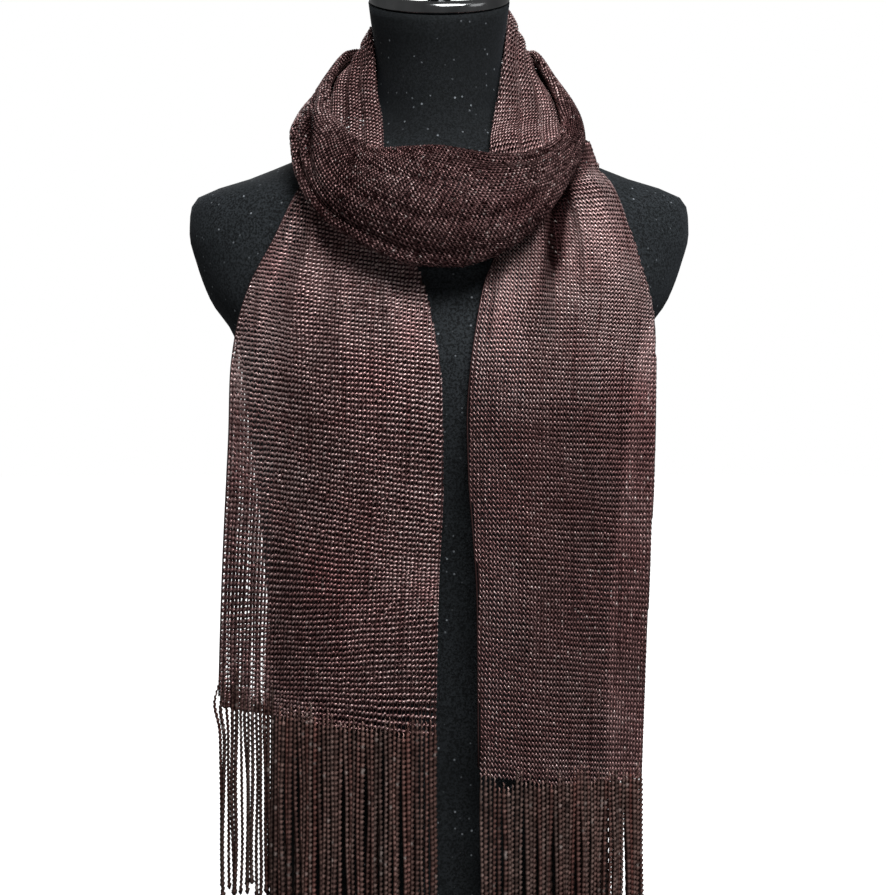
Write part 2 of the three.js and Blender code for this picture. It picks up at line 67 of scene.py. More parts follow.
def ring_faces(index):
    """The faces between rings of points, from the index of each point."""
    turned = np.roll(index, -1, axis=1)
    return np.stack([index[:-1], turned[:-1], turned[1:], index[1:]], axis=-1).reshape(-1, 4).tolist()


# The camera, at the photograph's angle
CAMERA_PLACE = (0.0033, -2.19866, 0.49278)
CAMERA_TARGET = (0.0033, 0.0, 0.416)
CAMERA_LENS = 119.58

camera = add_object("camera", bpy.data.cameras.new("camera"))
camera.location = CAMERA_PLACE
aim(camera, Vector(CAMERA_TARGET) - Vector(CAMERA_PLACE))
camera.data.lens = CAMERA_LENS
camera.data.sensor_width = 36
bpy.context.scene.camera = camera

# Sizes shared with the CAD source, in millimetres
WALL = 1.6
FORM_CLEARANCE = 1.4
LAYER_STEP = 4.2
SEAM = 0.4
CAP_HEIGHT = 9
ROLL_ANGLE = 0.9
ROLL_DEPTH = 5
ROLL_SHARE = 0.9
CREASE_WIDTH = 0.1
NAPE_SWELL = 2.6

# The form: height, half width, front and back depth, squareness, lean in degrees
FORM_ROWS = [
    (0, 128, 88, 78, 2.3, 0), (60, 126, 88, 78, 2.3, 0), (154, 125, 88, 79, 2.3, 0),
    (228, 124.5, 88, 80, 2.3, 0), (273, 125, 89, 81, 2.3, 0), (333, 129, 94, 84, 2.3, 0),
    (377, 133, 102, 87, 2.25, 0), (420, 138, 111, 90, 2.2, 0), (455, 142, 116, 93, 2.2, 0),
    (480, 146, 116, 96, 2.2, 0), (499, 151, 112, 98, 2.2, 0), (524, 168, 103, 99, 2.2, 0),
    (552, 179, 91, 98, 2.2, 0), (574, 184.5, 81, 95, 2.2, 0), (590, 184, 74, 90, 2.1, 0),
    (602, 177, 68, 85, 2, 0), (613, 144, 61, 79, 1.9, 0), (624, 116, 55, 74, 1.9, 0),
    (636, 88, 49, 69, 1.9, 0), (645, 67, 45, 65, 2, 0), (655, 53, 42, 61, 2, 0),
    (668, 46.5, 41, 58, 2, 1), (690, 45.5, 42, 56, 2, 3), (712, 47.5, 45, 55, 2, 7),
    (728, 50, 49, 53, 2, 12), (744, 52, 52, 52, 2, 17),
]

# The tables of the cloth follow the CAD source, apart from a few edges that lie as in the photograph.
# The tails' edges from top to hem: inner x, inner z, outer x, outer z
TAIL_LEFT_ROWS = [
    (-42, 611, -88, 624), (-36, 588, -102, 601), (-19, 559, -118, 567), (-8, 527, -136, 532),
    (-2, 499, -145, 500), (2, 468, -149, 467), (3, 430, -150, 430), (3, 390, -152, 390),
    (1, 350, -154, 350), (-1, 300, -156, 300), (-2, 217, -158, 232),
]
TAIL_RIGHT_ROWS = [
    (38, 611, 104, 651), (45, 588, 122, 614), (41, 559, 138.5, 573), (32, 534, 149, 542),
    (26, 502, 155, 508), (22, 472, 156, 476), (20, 440, 156, 442), (21, 400, 155, 400),
    (24, 360, 153, 360), (27, 310, 151, 310), (28, 180, 146, 180),
]

# Lengthwise folds: where across, how wide, how far out, from which height to which
FOLDS_LEFT = [(0.3, 0.12, 5, 430, 640), (0.72, 0.1, 6, 400, 640)]
FOLDS_RIGHT = [(0.28, 0.2, 12, 450, 640), (0.86, 0.13, 9, 420, 640)]

# The ribbon between the tails: upper edge (x, y, z), lower edge (x, y, z), swell, crease place, crease depth
STRIP_LEFT_ROWS = [
    (-42, -64, 612.3, -88, -54, 625.3, 4, 0.5, 0), (-40, -50, 633, -83, -37, 640, 5, 0.5, 0),
    (-41, -37, 653, -81, -17, 658, 5, 0.5, 0), (-45, -22, 676, -78, -1, 677, 5, 0.5, 0),
    (-47.2, -6, 700, -73, 12, 690, 4, 0.5, 0), (-50, 12, 725, -64, 24, 694, 3, 0.5, 0),
]
LOOP_ROWS = [
    (69, 36, 712, 85, 43, 668, 4, 0.5, 0), (79, 18, 696, 97, 19, 659, 5, 0.5, 0),
    (87, 0, 678, 104, -7, 649, 6, 0.5, 0), (90, -22, 660, 104, -38, 637, 7, 0.5, 0),
    (87, -47, 645, 94, -79, 611, 9, 0.5, 0), (77, -66, 634, 78, -104, 586, 11, 0.6, 1),
    (62, -78, 627, 60, -117, 567, 13, 0.75, 2), (41, -84, 626, 37, -125, 553, 14, 0.85, 3),
    (19, -87, 629, 12, -128, 546, 15, 0.88, 4), (-2, -88, 632, -17, -128, 547, 15, 0.88, 4),
    (-23, -87, 631, -48, -121, 559, 14, 0.87, 5), (-42, -82, 630, -76, -108, 576, 12, 0.85, 6),
    (-57, -72, 638, -95, -86, 598, 10, 0.8, 7), (-70, -56, 650, -104, -59, 620, 9, 0.62, 7),
    (-80, -36, 664, -107, -33, 643, 7, 0.4, 5), (-80, -13, 682, -106, -8, 651, 5, 0.3, 2),
    (-75, 12, 700, -97, 17, 659, 4, 0.3, 0), (-66, 34, 712, -84, 43, 666, 4, 0.3, 0),
]
STRIP_RIGHT_ROWS = [
    (51.5, 10, 735, 66, 22, 701, 4, 0.5, 0), (48, -7, 706, 72, 15, 690, 4, 0.5, 0),
    (44, -22, 678, 84, 11, 672, 5, 0.5, 0), (39, -37, 653, 91, -3, 656, 5, 0.5, 0),
    (37, -54, 633, 92, -26, 643, 5, 0.5, 0), (38, -66, 612.2, 101, -28, 635.5, 4, 0.5, 0),
]

# Behind the neck: turn, upper edge's height and stand-off, lower edge's height and stand-off
NAPE_UNDER = [
    (-54, 731, 4, 686, 9), (-26, 727, 4, 680, 6), (2, 716, 4, 668, 7), (28, 702, 7, 655, 14),
    (48, 704, 15, 656, 25),
]
NAPE_OVER = [
    (-48, 715, 17, 664, 27), (-26, 719, 14, 670, 21), (0, 729, 12, 686, 17), (26, 744, 8, 708, 11),
    (54, 745, 5, 704, 12),
]


def curve_through(xs, ys):
    """A smooth curve through the points that doesn't overshoot; takes arrays."""
    xs, ys = np.asarray(xs, float), np.asarray(ys, float)
    slope = np.diff(ys) / np.diff(xs)
    before, after = np.append(slope[0], slope), np.append(slope, slope[-1])
    product = before * after
    total = np.where(product > 0, before + after, 1)
    tangent = np.where(product > 0, 2 * product / total, 0)

    def at(x):
        held = np.clip(x, xs[0], xs[-1])
        i = np.clip(np.searchsorted(xs, held, side="right") - 1, 0, len(xs) - 2)
        step = xs[i + 1] - xs[i]
        t = (held - xs[i]) / step
        s = 1 - t
        ends = ys[i] * s * s * (1 + 2 * t) + ys[i + 1] * t * t * (3 - 2 * t)
        return ends + step * t * s * (tangent[i] * s - tangent[i + 1] * t)

    return at


def table_curves(rows, places):
    return [curve_through(places, column) for column in np.array(rows, float).T]


def unit(vectors):
    return vectors / np.maximum(np.linalg.norm(vectors, axis=-1, keepdims=True), 1e-9)


def smooth_step(t):
    t = np.clip(t, 0, 1)
    return t * t * (3 - 2 * t)


# The form's sections
form_half, form_front_depth, form_back_depth, form_power, form_lean = table_curves(
    [row[1:] for row in FORM_ROWS], [row[0] for row in FORM_ROWS])


def form_section(z):
    front, back = form_front_depth(z), form_back_depth(z)
    return form_half(z), (back - front) / 2, (back + front) / 2, form_power(z), np.radians(form_lean(z))


def form_front(x, z):
    """Where the form's front lies, or far behind beside the form."""
    half, middle, deep, power, _ = form_section(z)
    across = np.abs(x) / half
    inside = np.clip(1 - across ** power, 0, 1) ** (1 / power)
    return np.where(across < 1, middle - deep * inside, np.inf)


# Cloth grids: arrays (along, across, 3) in millimetres
TAIL_LEVELS = 260
TAIL_COLUMNS = 130
RIBBON_LEVELS = 240
RIBBON_COLUMNS = 72
FOLD_COLUMNS = 8


def fold_lift(folds, across, z):
    lift = np.zeros(np.broadcast(across, z).shape)
    for at, wide, out, low, high in folds:
        fade = smooth_step((z - low) / (high - low))
        lift = lift + out * fade * np.exp(-(((across - at) / wide) ** 2))
    return lift


def fine_lift(folds, across, z):
    """Folds with their own slope on each side: points (z, across), rise, inner and outer width."""
    lift = np.zeros(np.broadcast(across, z).shape)
    for route, rise, inner, outer in folds:
        heights = [point[0] for point in route][::-1]
        line = curve_through(heights, [point[1] for point in route][::-1])(z)
        share = (z - heights[0]) / (heights[-1] - heights[0])
        fade = smooth_step(share * 3) * smooth_step((1.3 - share) * 3)
        width = np.where(across < line, inner, outer)
        lift = lift + rise * fade * np.exp(-(((across - line) / width) ** 2))
    return lift


def tail_grid(tail, across, layer):
    """Points of a tail for the section given by two arrays, across and layer."""
    rows = tail["rows"]
    in_x, in_z, out_x, out_z = table_curves(rows, np.linspace(0, 1, len(rows)))
    t = np.linspace(0, 1, TAIL_LEVELS)[:, None]
    x = in_x(t) + (out_x(t) - in_x(t)) * across
    z = in_z(t) + (out_z(t) - in_z(t)) * across
    top = tail["top_y"][0] + (tail["top_y"][1] - tail["top_y"][0]) * across
    bound = np.minimum(form_front(x, z) - FORM_CLEARANCE - WALL / 2, top)
    depth = np.minimum.accumulate(bound, axis=0)
    lift = fold_lift(tail["folds"], across, z) + fine_lift(tail["fine"], across, z)
    y = depth - layer * LAYER_STEP - np.maximum(lift, 0)
    return np.stack([x, y, z], axis=-1)


def tail_section(tail, front):
    """Across and layer from the fold to the free edge, for the front or the back layer."""
    turn = LAYER_STEP / 2 / tail["width"]
    inward = 1 if tail["fold"] == 0 else -1
    inset = tail["fold"] + inward * turn
    angle = np.linspace(math.pi / 2, math.pi if front else 0, FOLD_COLUMNS)
    round_across = inset - inward * np.sin(angle) * turn
    round_layer = (1 - np.cos(angle)) / 2
    end = (1 - tail["fold"]) if front else tail["back_from"]
    flat_across = np.linspace(inset, end, TAIL_COLUMNS)[1:]
    flat_layer = np.full(TAIL_COLUMNS - 1, 1.0 if front else 0.0)
    return np.append(round_across, flat_across), np.append(round_layer, flat_layer)


def nape_rows(rows):
    def place(turn, z, off):
        half, middle, deep, _, _ = form_section(z)
        angle = math.radians(turn)
        return (half + off) * math.sin(angle), middle + (deep + off) * math.cos(angle), z
    return [(*place(turn, top_z, top_off), *place(turn, low_z, low_off), NAPE_SWELL, 0.5, 0)
            for turn, top_z, top_off, low_z, low_off in rows]


RIBBON_PARTS = [
    ("strip_left", STRIP_LEFT_ROWS), ("nape_under", nape_rows(NAPE_UNDER)), ("loop", LOOP_ROWS),
    ("nape_over", nape_rows(NAPE_OVER)), ("strip_right", STRIP_RIGHT_ROWS),
]
ribbon_rows = [row for _, rows in RIBBON_PARTS for row in rows]
ribbon_table = np.array(ribbon_rows, float)
ribbon_middles = (ribbon_table[:, :3] + ribbon_table[:, 3:6]) / 2
ribbon_places = np.append(0, np.cumsum(np.linalg.norm(np.diff(ribbon_middles, axis=0), axis=1)))
ribbon_curves = table_curves(ribbon_rows, ribbon_places)


def ribbon_ends():
    """The first and last place of each stretch of the ribbon."""
    ends, before, start = {}, 0, 0.0
    for name, rows in RIBBON_PARTS:
        before += len(rows)
        last = before == len(ribbon_rows)
        end = ribbon_places[-1] if last else (ribbon_places[before - 1] + ribbon_places[before]) / 2
        ends[name] = (start, end)
        start = end
    return ends


def crease_depth(creases, along, across):
    """Creases: points (along, across, depth), and how wide on the upper and on the lower side."""
    total = np.zeros(np.broadcast(along, across).shape)
    for route, upper, lower in creases:
        places = [point[0] for point in route]
        line = curve_through(places, [point[1] for point in route])(along)
        depth = curve_through(places, [point[2] for point in route])(along)
        inside = (along >= places[0]) & (along <= places[-1])
        width = np.where(across < line, upper, lower)
        total = total + inside * depth * np.exp(-(((across - line) / width) ** 2))
    return total


def ribbon_grid(start, end, creases=()):
    place = np.linspace(start, end, RIBBON_LEVELS)[:, None]
    row = [curve(place) for curve in ribbon_curves]
    upper, lower = np.concatenate(row[:3], axis=1), np.concatenate(row[3:6], axis=1)
    swell, at, deep = row[6:]

    def middle(p):
        values = [curve(p) for curve in ribbon_curves[:6]]
        return (np.concatenate(values[:3], axis=1) + np.concatenate(values[3:], axis=1)) / 2

    tangent = middle(place + 1) - middle(place - 1)
    outward = unit(np.cross(tangent, lower - upper))
    angle = np.linspace(-ROLL_ANGLE, math.pi + ROLL_ANGLE, RIBBON_COLUMNS)[None, :]
    across, lift = (1 - np.cos(angle)) / 2, np.sin(angle)
    crease = deep * np.exp(-(((across - at) / CREASE_WIDTH) ** 2))
    roll = np.minimum(ROLL_DEPTH, ROLL_SHARE * swell)
    face = np.clip(lift, 0, 1)
    fine = crease_depth(creases, (place - start) / (end - start), across) * smooth_step(face * 2.5)
    out = np.where(lift > 0, (swell - crease) * face ** 0.8 - fine, roll * lift)
    points = upper[:, None] + (lower - upper)[:, None] * across[..., None]
    return points + outward[:, None] * out[..., None]


# The net: rows of slanted stitches on thin lengthwise chains, all closed tubes
random = np.random.default_rng(7)

# A stitch's nodes: place across (of a wale), along (of a course), out, half height, half depth, tone; the
# tone is painted shade on the deep node and painted light on the front ones
STITCH_FINE = [
    (0.00, 0.00, -0.45, 0.55, 0.36, 0.0),
    (0.28, 0.5, 0.22, 0.92, 0.46, 0.9),
    (0.74, -0.5, 0.30, 0.92, 0.46, 1.0),
]
STITCH_PLAIN = [
    (0.00, 0.00, -0.35, 0.6, 0.36, 0.1),
    (0.52, 0.00, 0.28, 1.15, 0.44, 1.0),
]
# The course pitch that the half heights are for
STITCH_PITCH = 3.2
SHORTEST_COURSE = 1.2
FLAT_BACK = 0.2
CHAIN_OUT = -0.62
CHAIN_RISE = 0.45
# The chains' low tone is painted shade, as they lie deeper than the stitches
CHAIN_TONE = 0.19
# Where stitches merge: how far the node between them comes out, and how light (its painted shade lifted) and
# high it is
MERGED_OUT = 0.42
MERGED_TONE = 0.62
MERGED_HEIGHT = 0.45
# The wales sway sideways and the rows wave lengthwise: how far, and the size of the waves
SWAY = 0.55
SWAY_SIZE = 23
SWAY_ACROSS = 7
WAVE = 1.1
WAVE_SIZE = 19
# Darker wales: how many are strongly so, how strong they and the rest are, and how long a streak is
WALE_LIMIT = 400
STREAK_SHARE = 0.16
STREAK_STRONG = 0.65
STREAK_WEAK = 0.22
STREAK_LENGTH = 24
ROW_SHADE = 0.07
# Painted glints: the share of stitches that get one, and how bright it is
PAINTED_GLINT_SHARE = 0.06
PAINTED_GLINT_STRENGTH = 0.6
CROWN_TONE = 0.95

VERTEX_VALUES = ("tone", "painted_glint", "warmth")
Row = namedtuple("Row", "wales course pitch shift slope middle")


class MeshParts:
    """Collects closed tubes with a tone, a painted glint and a warmth for each vertex; the tone carries
    painted light and shade.
    """

    def __init__(self):
        self.points, self.faces, self.values, self.count = [], [], [], 0

    def tube(self, rings, values):
        """rings: (nodes, sides, 3); values: (nodes, 3)."""
        nodes, sides = rings.shape[:2]
        index = self.count + np.arange(nodes * sides).reshape(nodes, sides)
        self.faces += ring_faces(index) + [index[0][::-1].tolist(), index[-1].tolist()]
        self.points.append(rings.reshape(-1, 3))
        self.values.append(np.repeat(values, sides, axis=0))
        self.count += nodes * sides

    def join(self, other):
        self.faces += [[i + self.count for i in face] for face in other.faces]
        self.points += other.points
        self.values += other.values
        self.count += other.count

    def build(self, name, material):
        made = smooth_mesh(name, np.concatenate(self.points), self.faces, material)
        values = np.concatenate(self.values).astype(np.float32)
        for i, label in enumerate(VERTEX_VALUES):
            attribute = made.data.attributes.new(label, "FLOAT", "POINT")
            attribute.data.foreach_set("value", values[:, i])
        return made


def grid_normals(grid, facing):
    """Normals of a grid; facing is a rough outward direction or None."""
    along, across = unit(np.gradient(grid, axis=0)), unit(np.gradient(grid, axis=1))
    normal = unit(np.cross(along, across))
    if facing is not None:
        flat = np.mean(normal.reshape(-1, 3), axis=0)
        if flat @ np.array(facing) < 0:
            normal = -normal
    return normal


class Surface:
    """A grid of cloth, read by distance along (v) and across (u), both in millimetres."""

    STEP = 1.0

    def __init__(self, grid, normal, reference):
        middle = grid[:, reference]
        self.v = np.append(0, np.cumsum(np.linalg.norm(np.diff(middle, axis=0), axis=1)))
        arcs = np.cumsum(np.linalg.norm(np.diff(grid, axis=1), axis=2), axis=1)
        arcs = np.concatenate([np.zeros((len(grid), 1)), arcs], axis=1)
        self.width = float(np.max(arcs[:, -1]))
        arcs = arcs - arcs[:, reference:reference + 1]
        self.low, self.high = arcs[:, 0], arcs[:, -1]
        self.start = math.floor(np.min(self.low))
        self.lattice = np.arange(self.start, math.ceil(np.max(self.high)) + self.STEP, self.STEP)
        both = np.concatenate([grid, normal], axis=2)
        self.values = np.empty((len(grid), len(self.lattice), 6))
        for i, arc in enumerate(arcs):
            for k in range(6):
                self.values[i, :, k] = np.interp(self.lattice, arc, both[i, :, k])

    def limits(self, v):
        return np.interp(v, self.v, self.low), np.interp(v, self.v, self.high)

    def read(self, u, v):
        """Points and normals at u, v."""
        row = np.interp(v, self.v, np.arange(len(self.v)))
        low, high = self.limits(v)
        column = (np.clip(u, low, high) - self.start) / self.STEP
        i = np.clip(row.astype(int), 0, len(self.v) - 2)
        j = np.clip(column.astype(int), 0, len(self.lattice) - 2)
        f, g = (row - i)[..., None], (column - j)[..., None]
        both = ((self.values[i, j] * (1 - g) + self.values[i, j + 1] * g) * (1 - f)
                + (self.values[i + 1, j] * (1 - g) + self.values[i + 1, j + 1] * g) * f)
        return both[..., :3], unit(both[..., 3:])


def wander(u, v, size, seed):
    """A smooth unevenness of the cloth, between about -1 and 1."""
    phase = np.random.default_rng(seed).uniform(0, 2 * math.pi, 6)
    return (np.sin(u / size + phase[0] + 1.3 * np.sin(v / size / 2.3 + phase[1]))
            + np.sin(v / size * 0.8 + phase[2] + 1.1 * np.sin(u / size / 1.7 + phase[3]))
            + np.sin((u + v) / size * 1.9 + phase[4])) / 3


def course_places(length, course):
    """Where each row of stitches lies along the cloth, and its pitch."""
    rows, v = [], 0.0
    while v < length - SHORTEST_COURSE:
        pitch = float(course(v / length))
        rows.append((v + pitch / 2, pitch))
        v += pitch
    return rows


def wale_streaks(seed):
    """How dark each wale is at a place along the cloth."""
    draw = np.random.default_rng(seed + 20)
    depth = np.where(draw.random(WALE_LIMIT) < STREAK_SHARE, STREAK_STRONG, STREAK_WEAK)
    depth = depth * draw.random(WALE_LIMIT)
    phase = draw.uniform(0, 2 * math.pi, WALE_LIMIT)

    def at(wales, course):
        number = wales % WALE_LIMIT
        return 1 - depth[number] * np.clip(0.5 + np.sin(course / STREAK_LENGTH + phase[number]), 0, 1)

    return at


def on_row(look, row, across, raised):
    """u and v of places across a row, with its sway and its slope."""
    u = across + row.shift
    u = u + SWAY * wander(across * SWAY_ACROSS, row.course + 0 * across, SWAY_SIZE, look["seed"])
    return u, row.course + raised + row.slope * (u - row.middle)


def stitch_row(surface, look, row, streak):
    """A row of stitches as one yarn: its rings, and the tone (with painted light and shade), painted glint
    and warmth of each.
    """
    stitches, count = np.array(look["stitch"]), len(row.wales)
    jitter = random.normal(0, look["jitter"], (count, len(stitches), 2))
    place = (row.wales[:, None] + stitches[None, :, 0] + jitter[..., 0]) * look["wale"]
    raised = (-look["slant"] * stitches[None, :, 1] + jitter[..., 1]) * row.pitch
    shade = random.normal(1, look["shade"], count) * streak(row.wales, row.course)
    shade = shade * random.normal(1, ROW_SHADE)
    # Painted glints: a few stitches get bright crowns
    painted_glint = PAINTED_GLINT_STRENGTH * (random.random(count) < PAINTED_GLINT_SHARE) * random.random(count)
    # tone: painted shade on the deep node and painted light on the crowns, varied at random
    tone = np.append((stitches[None, :, 5] * shade[:, None]).ravel(), 0)
    painted_shine = np.append((painted_glint[:, None] * (stitches[None, :, 5] > CROWN_TONE)).ravel(), 0)
    out, high, deep = (np.append(np.tile(stitches[:, k], count), stitches[0, k]) for k in (2, 3, 4))
    place = np.append(place.ravel(), (row.wales[-1] + 1) * look["wale"])
    u, v = on_row(look, row, place, np.append(raised.ravel(), 0))
    v = v + WAVE * wander(u, row.course + 0 * u, WAVE_SIZE, look["seed"] + 1)
    points, n = surface.read(u, v)
    t = unit(surface.read(u, v + 1)[0] - surface.read(u, v - 1)[0])
    merged = look["merge"](points) * (tone == 0)
    out, tone = out + MERGED_OUT * merged, tone + MERGED_TONE * merged
    half = high * (1 + MERGED_HEIGHT * merged) * row.pitch / STITCH_PITCH * look["fat"](points)
    # warmth, and a gain in tone that carries painted light and shade
    warmth, gain = look["colour"](points)
    centre = points + n * (out + look["out"])[:, None]
    up, rise = t * half[:, None], n * deep[:, None]
    rings = [centre + up, centre + rise, centre - up, centre - rise]
    if look["sides"] == 3:
        rings = [centre + up - n * FLAT_BACK, centre + rise, centre - up - n * FLAT_BACK]
    return np.stack(rings, axis=1), np.stack([tone * gain, painted_shine, warmth], axis=1)


def chain_row(surface, look, row):
    """Where the chains cross a row: a ring for each wale, and the gain in tone there."""
    u, v = on_row(look, row, row.wales * look["wale"], 0)
    points, n = surface.read(u, v)
    w = unit(surface.read(u + 1, v)[0] - surface.read(u - 1, v)[0])
    base = points + n * (CHAIN_OUT + look["out"])
    broad = look["chain"](points, row.wales)[:, None]
    rings = np.stack([base - w * broad, base + n * CHAIN_RISE, base + w * broad], axis=1)
    return rings, look["colour"](points)[1]


def add_chains(parts, chains, stride):
    """The chains as tubes, each broken where its wale leaves the cloth."""
    for number in sorted(chains):
        run, begin = chains[number], 0
        for k in range(1, len(run) + 1):
            if k == len(run) or run[k][0] - run[k - 1][0] > stride:
                if k - begin > 1:
                    rings = np.array([ring for _, ring, _ in run[begin:k]])
                    values = np.array([[CHAIN_TONE * gain, 0, 0] for _, _, gain in run[begin:k]])
                    parts.tube(rings, values)
                begin = k


def net(surface, look):
    """The yarns of a surface as look says, its flat size, and the area of its stitches."""
    parts, chains, cells = MeshParts(), {}, 0
    wale, length = look["wale"], surface.v[-1]
    streak = wale_streaks(look["seed"])
    courses = course_places(length, look["course"])
    for c, (course, pitch) in enumerate(courses):
        low, high = surface.limits(course)
        shift = float(look["drift"](np.array(course)))
        first, last = math.ceil((low - shift) / wale - 0.5), math.floor((high - shift) / wale + 0.5)
        wales = np.arange(first, last)
        if len(wales) < 2:
            continue
        cells += len(wales) * pitch
        row = Row(wales, course, pitch, shift, look["tilt"](course / length), (low + high) / 2)
        parts.tube(*stitch_row(surface, look, row, streak))
        if c % look["stride"] == 0 or c == len(courses) - 1:
            rings, gains = chain_row(surface, look, row)
            for number, ring, gain in zip(wales, rings, gains):
                chains.setdefault(int(number), []).append((c, ring, gain))
    add_chains(parts, chains, look["stride"])
    return parts, (surface.width * MM, float(length) * MM), cells * wale * MM * MM


def selvedge(parts, grid, normal, columns, radius, tone):
    """Thicker threads along a free edge, each down one column of the grid."""
    for column in columns:
        line, n = grid[::4, column], normal[::4, column]
        along = unit(np.gradient(line, axis=0))
        side = np.cross(along, n)
        rings = np.stack([line + side * radius, line + n * radius, line - side * radius,
                          line - n * radius], axis=1)
        parts.tube(rings, np.tile([tone, 0, 0], (len(rings), 1)))


# Materials
def node_material(name):
    material = bpy.data.materials.new(name)
    material.use_nodes = True
    nodes, links = material.node_tree.nodes, material.node_tree.links
    return material, nodes, links, nodes["Principled BSDF"]


def add_node(nodes, kind, **settings):
    node = nodes.new(kind)
    for key, value in settings.items():
        setattr(node, key, value)
    return node


def set_inputs(node, values):
    for label, value in values.items():
        node.inputs[label].default_value = value


def ramp(nodes, stops):
    node = nodes.new("ShaderNodeValToRGB")
    elements = node.color_ramp.elements
    while len(elements) < len(stops):
        elements.new(0.5)
    for element, (place, colour) in zip(elements, stops):
        element.position = place
        element.color = (*colour, 1)
    return node


def object_noise(nodes, links, scale, detail=2.0, roughness=0.5):
    coordinates = add_node(nodes, "ShaderNodeTexCoord")
    noise = add_node(nodes, "ShaderNodeTexNoise")
    set_inputs(noise, {"Scale": scale, "Detail": detail, "Roughness": roughness})
    links.new(coordinates.outputs["Object"], noise.inputs["Vector"])
    return noise


def mix_colour(nodes, links, factor, a, b, blend="MIX"):
    node = add_node(nodes, "ShaderNodeMix", data_type="RGBA", blend_type=blend)
    for socket, value in ((node.inputs[0], factor), (node.inputs[6], a), (node.inputs[7], b)):
        if isinstance(value, bpy.types.NodeSocket):
            links.new(value, socket)
        elif isinstance(value, tuple):
            socket.default_value = (*value, 1)
        else:
            socket.default_value = value
    return node.outputs[2]


def map_range(nodes, links, value, from_low, from_high, to_low, to_high):
    node = add_node(nodes, "ShaderNodeMapRange")
    set_inputs(node, {"From Min": from_low, "From Max": from_high, "To Min": to_low, "To Max": to_high})
    links.new(value, node.inputs["Value"])
    return node.outputs["Result"]


def add_bump(nodes, links, shader, height, strength, distance):
    bump = add_node(nodes, "ShaderNodeBump")
    set_inputs(bump, {"Strength": strength, "Distance": distance})
    links.new(height, bump.inputs["Height"])
    links.new(bump.outputs["Normal"], shader.inputs["Normal"])


def yarn_material(name, dark, middle, light, warm, painted_glint_colour):
    """Lurex yarn: painted shade between the stitches, bronze with painted light on their crowns, and
    scattered painted glints.
    """
    material, nodes, links, shader = node_material(name)
    tone, painted_glint, warmth = (add_node(nodes, "ShaderNodeAttribute", attribute_name=label).outputs["Fac"]
                           for label in VERTEX_VALUES)
    base = ramp(nodes, [(0, dark), (0.33, middle), (0.67, light),
                        (1, tuple(1.25 * value + 0.1 for value in light))])
    links.new(map_range(nodes, links, tone, 0, 1.5, 0, 1), base.inputs["Fac"])
    tinted = mix_colour(nodes, links, warmth, base.outputs["Color"], warm, "MULTIPLY")
    patches = object_noise(nodes, links, 38, 3).outputs["Fac"]
    speckle = object_noise(nodes, links, 900, 1).outputs["Fac"]
    patched = mix_colour(nodes, links, map_range(nodes, links, patches, 0.35, 0.7, 0, 0.55), tinted,
                         (0.80, 0.66, 0.66), "MULTIPLY")
    speckled = mix_colour(nodes, links, map_range(nodes, links, speckle, 0.3, 0.7, 0, 0.6), patched,
                          (0.55, 0.5, 0.5), "MULTIPLY")
    links.new(mix_colour(nodes, links, painted_glint, speckled, painted_glint_colour), shader.inputs["Base Color"])
    links.new(map_range(nodes, links, speckle, 0.3, 0.7, 0.3, 0.5), shader.inputs["Roughness"])
    set_inputs(shader, {"Metallic": 0.7, "Specular IOR Level": 0.15})
    add_bump(nodes, links, shader, object_noise(nodes, links, 2600, 2).outputs["Fac"], 0.25, 0.0002)
    return material


# Painted light and shade on the flock by height, lighter on the shoulders, darker low down and at the neck:
# height in metres, share of its colour
FLOCK_PAINTED_LIGHT = [(0, 0.5), (0.35, 0.7), (0.5, 0.8), (0.56, 0.95), (0.6, 1), (0.65, 0.42)]


def flock_material():
    """Black velvety flock with a little lint, and painted light and shade by height."""
    material, nodes, links, shader = node_material("flock")
    clouds = object_noise(nodes, links, 14, 4).outputs["Fac"]
    fibres = object_noise(nodes, links, 1500, 2).outputs["Fac"]
    cloth = ramp(nodes, [(0.3, (0.018, 0.0215, 0.0245)), (0.7, (0.032, 0.0375, 0.042))])
    links.new(clouds, cloth.inputs["Fac"])
    coordinates = add_node(nodes, "ShaderNodeTexCoord").outputs["Object"]
    place = add_node(nodes, "ShaderNodeSeparateXYZ")
    links.new(coordinates, place.inputs["Vector"])
    # Painted light and shade by height
    painted_light_by_height = ramp(nodes, [(height, (grey, grey, grey)) for height, grey in FLOCK_PAINTED_LIGHT])
    links.new(place.outputs["Z"], painted_light_by_height.inputs["Fac"])
    shaded = mix_colour(nodes, links, 1.0, cloth.outputs["Color"], painted_light_by_height.outputs["Color"], "MULTIPLY")
    grain = object_noise(nodes, links, 620, 3, 0.7).outputs["Fac"]
    grained = mix_colour(nodes, links, map_range(nodes, links, grain, 0.42, 0.58, 0, 1),
                         (0.004, 0.005, 0.0055), shaded)
    lint = add_node(nodes, "ShaderNodeTexVoronoi")
    set_inputs(lint, {"Scale": 170})
    links.new(coordinates, lint.inputs["Vector"])
    near = map_range(nodes, links, lint.outputs["Distance"], 0.05, 0.17, 1, 0)
    chosen = add_node(nodes, "ShaderNodeSeparateColor")
    links.new(lint.outputs["Color"], chosen.inputs["Color"])
    picked = map_range(nodes, links, chosen.outputs["Red"], 0.5, 1, 0, 0.6)
    speck = add_node(nodes, "ShaderNodeMath", operation="MULTIPLY")
    links.new(near, speck.inputs[0])
    links.new(picked, speck.inputs[1])
    links.new(mix_colour(nodes, links, speck.outputs[0], grained, (0.42, 0.46, 0.5)),
              shader.inputs["Base Color"])
    links.new(map_range(nodes, links, fibres, 0.3, 0.7, 0.8, 1.0), shader.inputs["Roughness"])
    set_inputs(shader, {"Specular IOR Level": 0.15, "Sheen Weight": 0.03, "Sheen Roughness": 0.5,
                        "Sheen Tint": (0.75, 0.85, 1, 1)})
    add_bump(nodes, links, shader, fibres, 0.16, 0.0004)
    return material


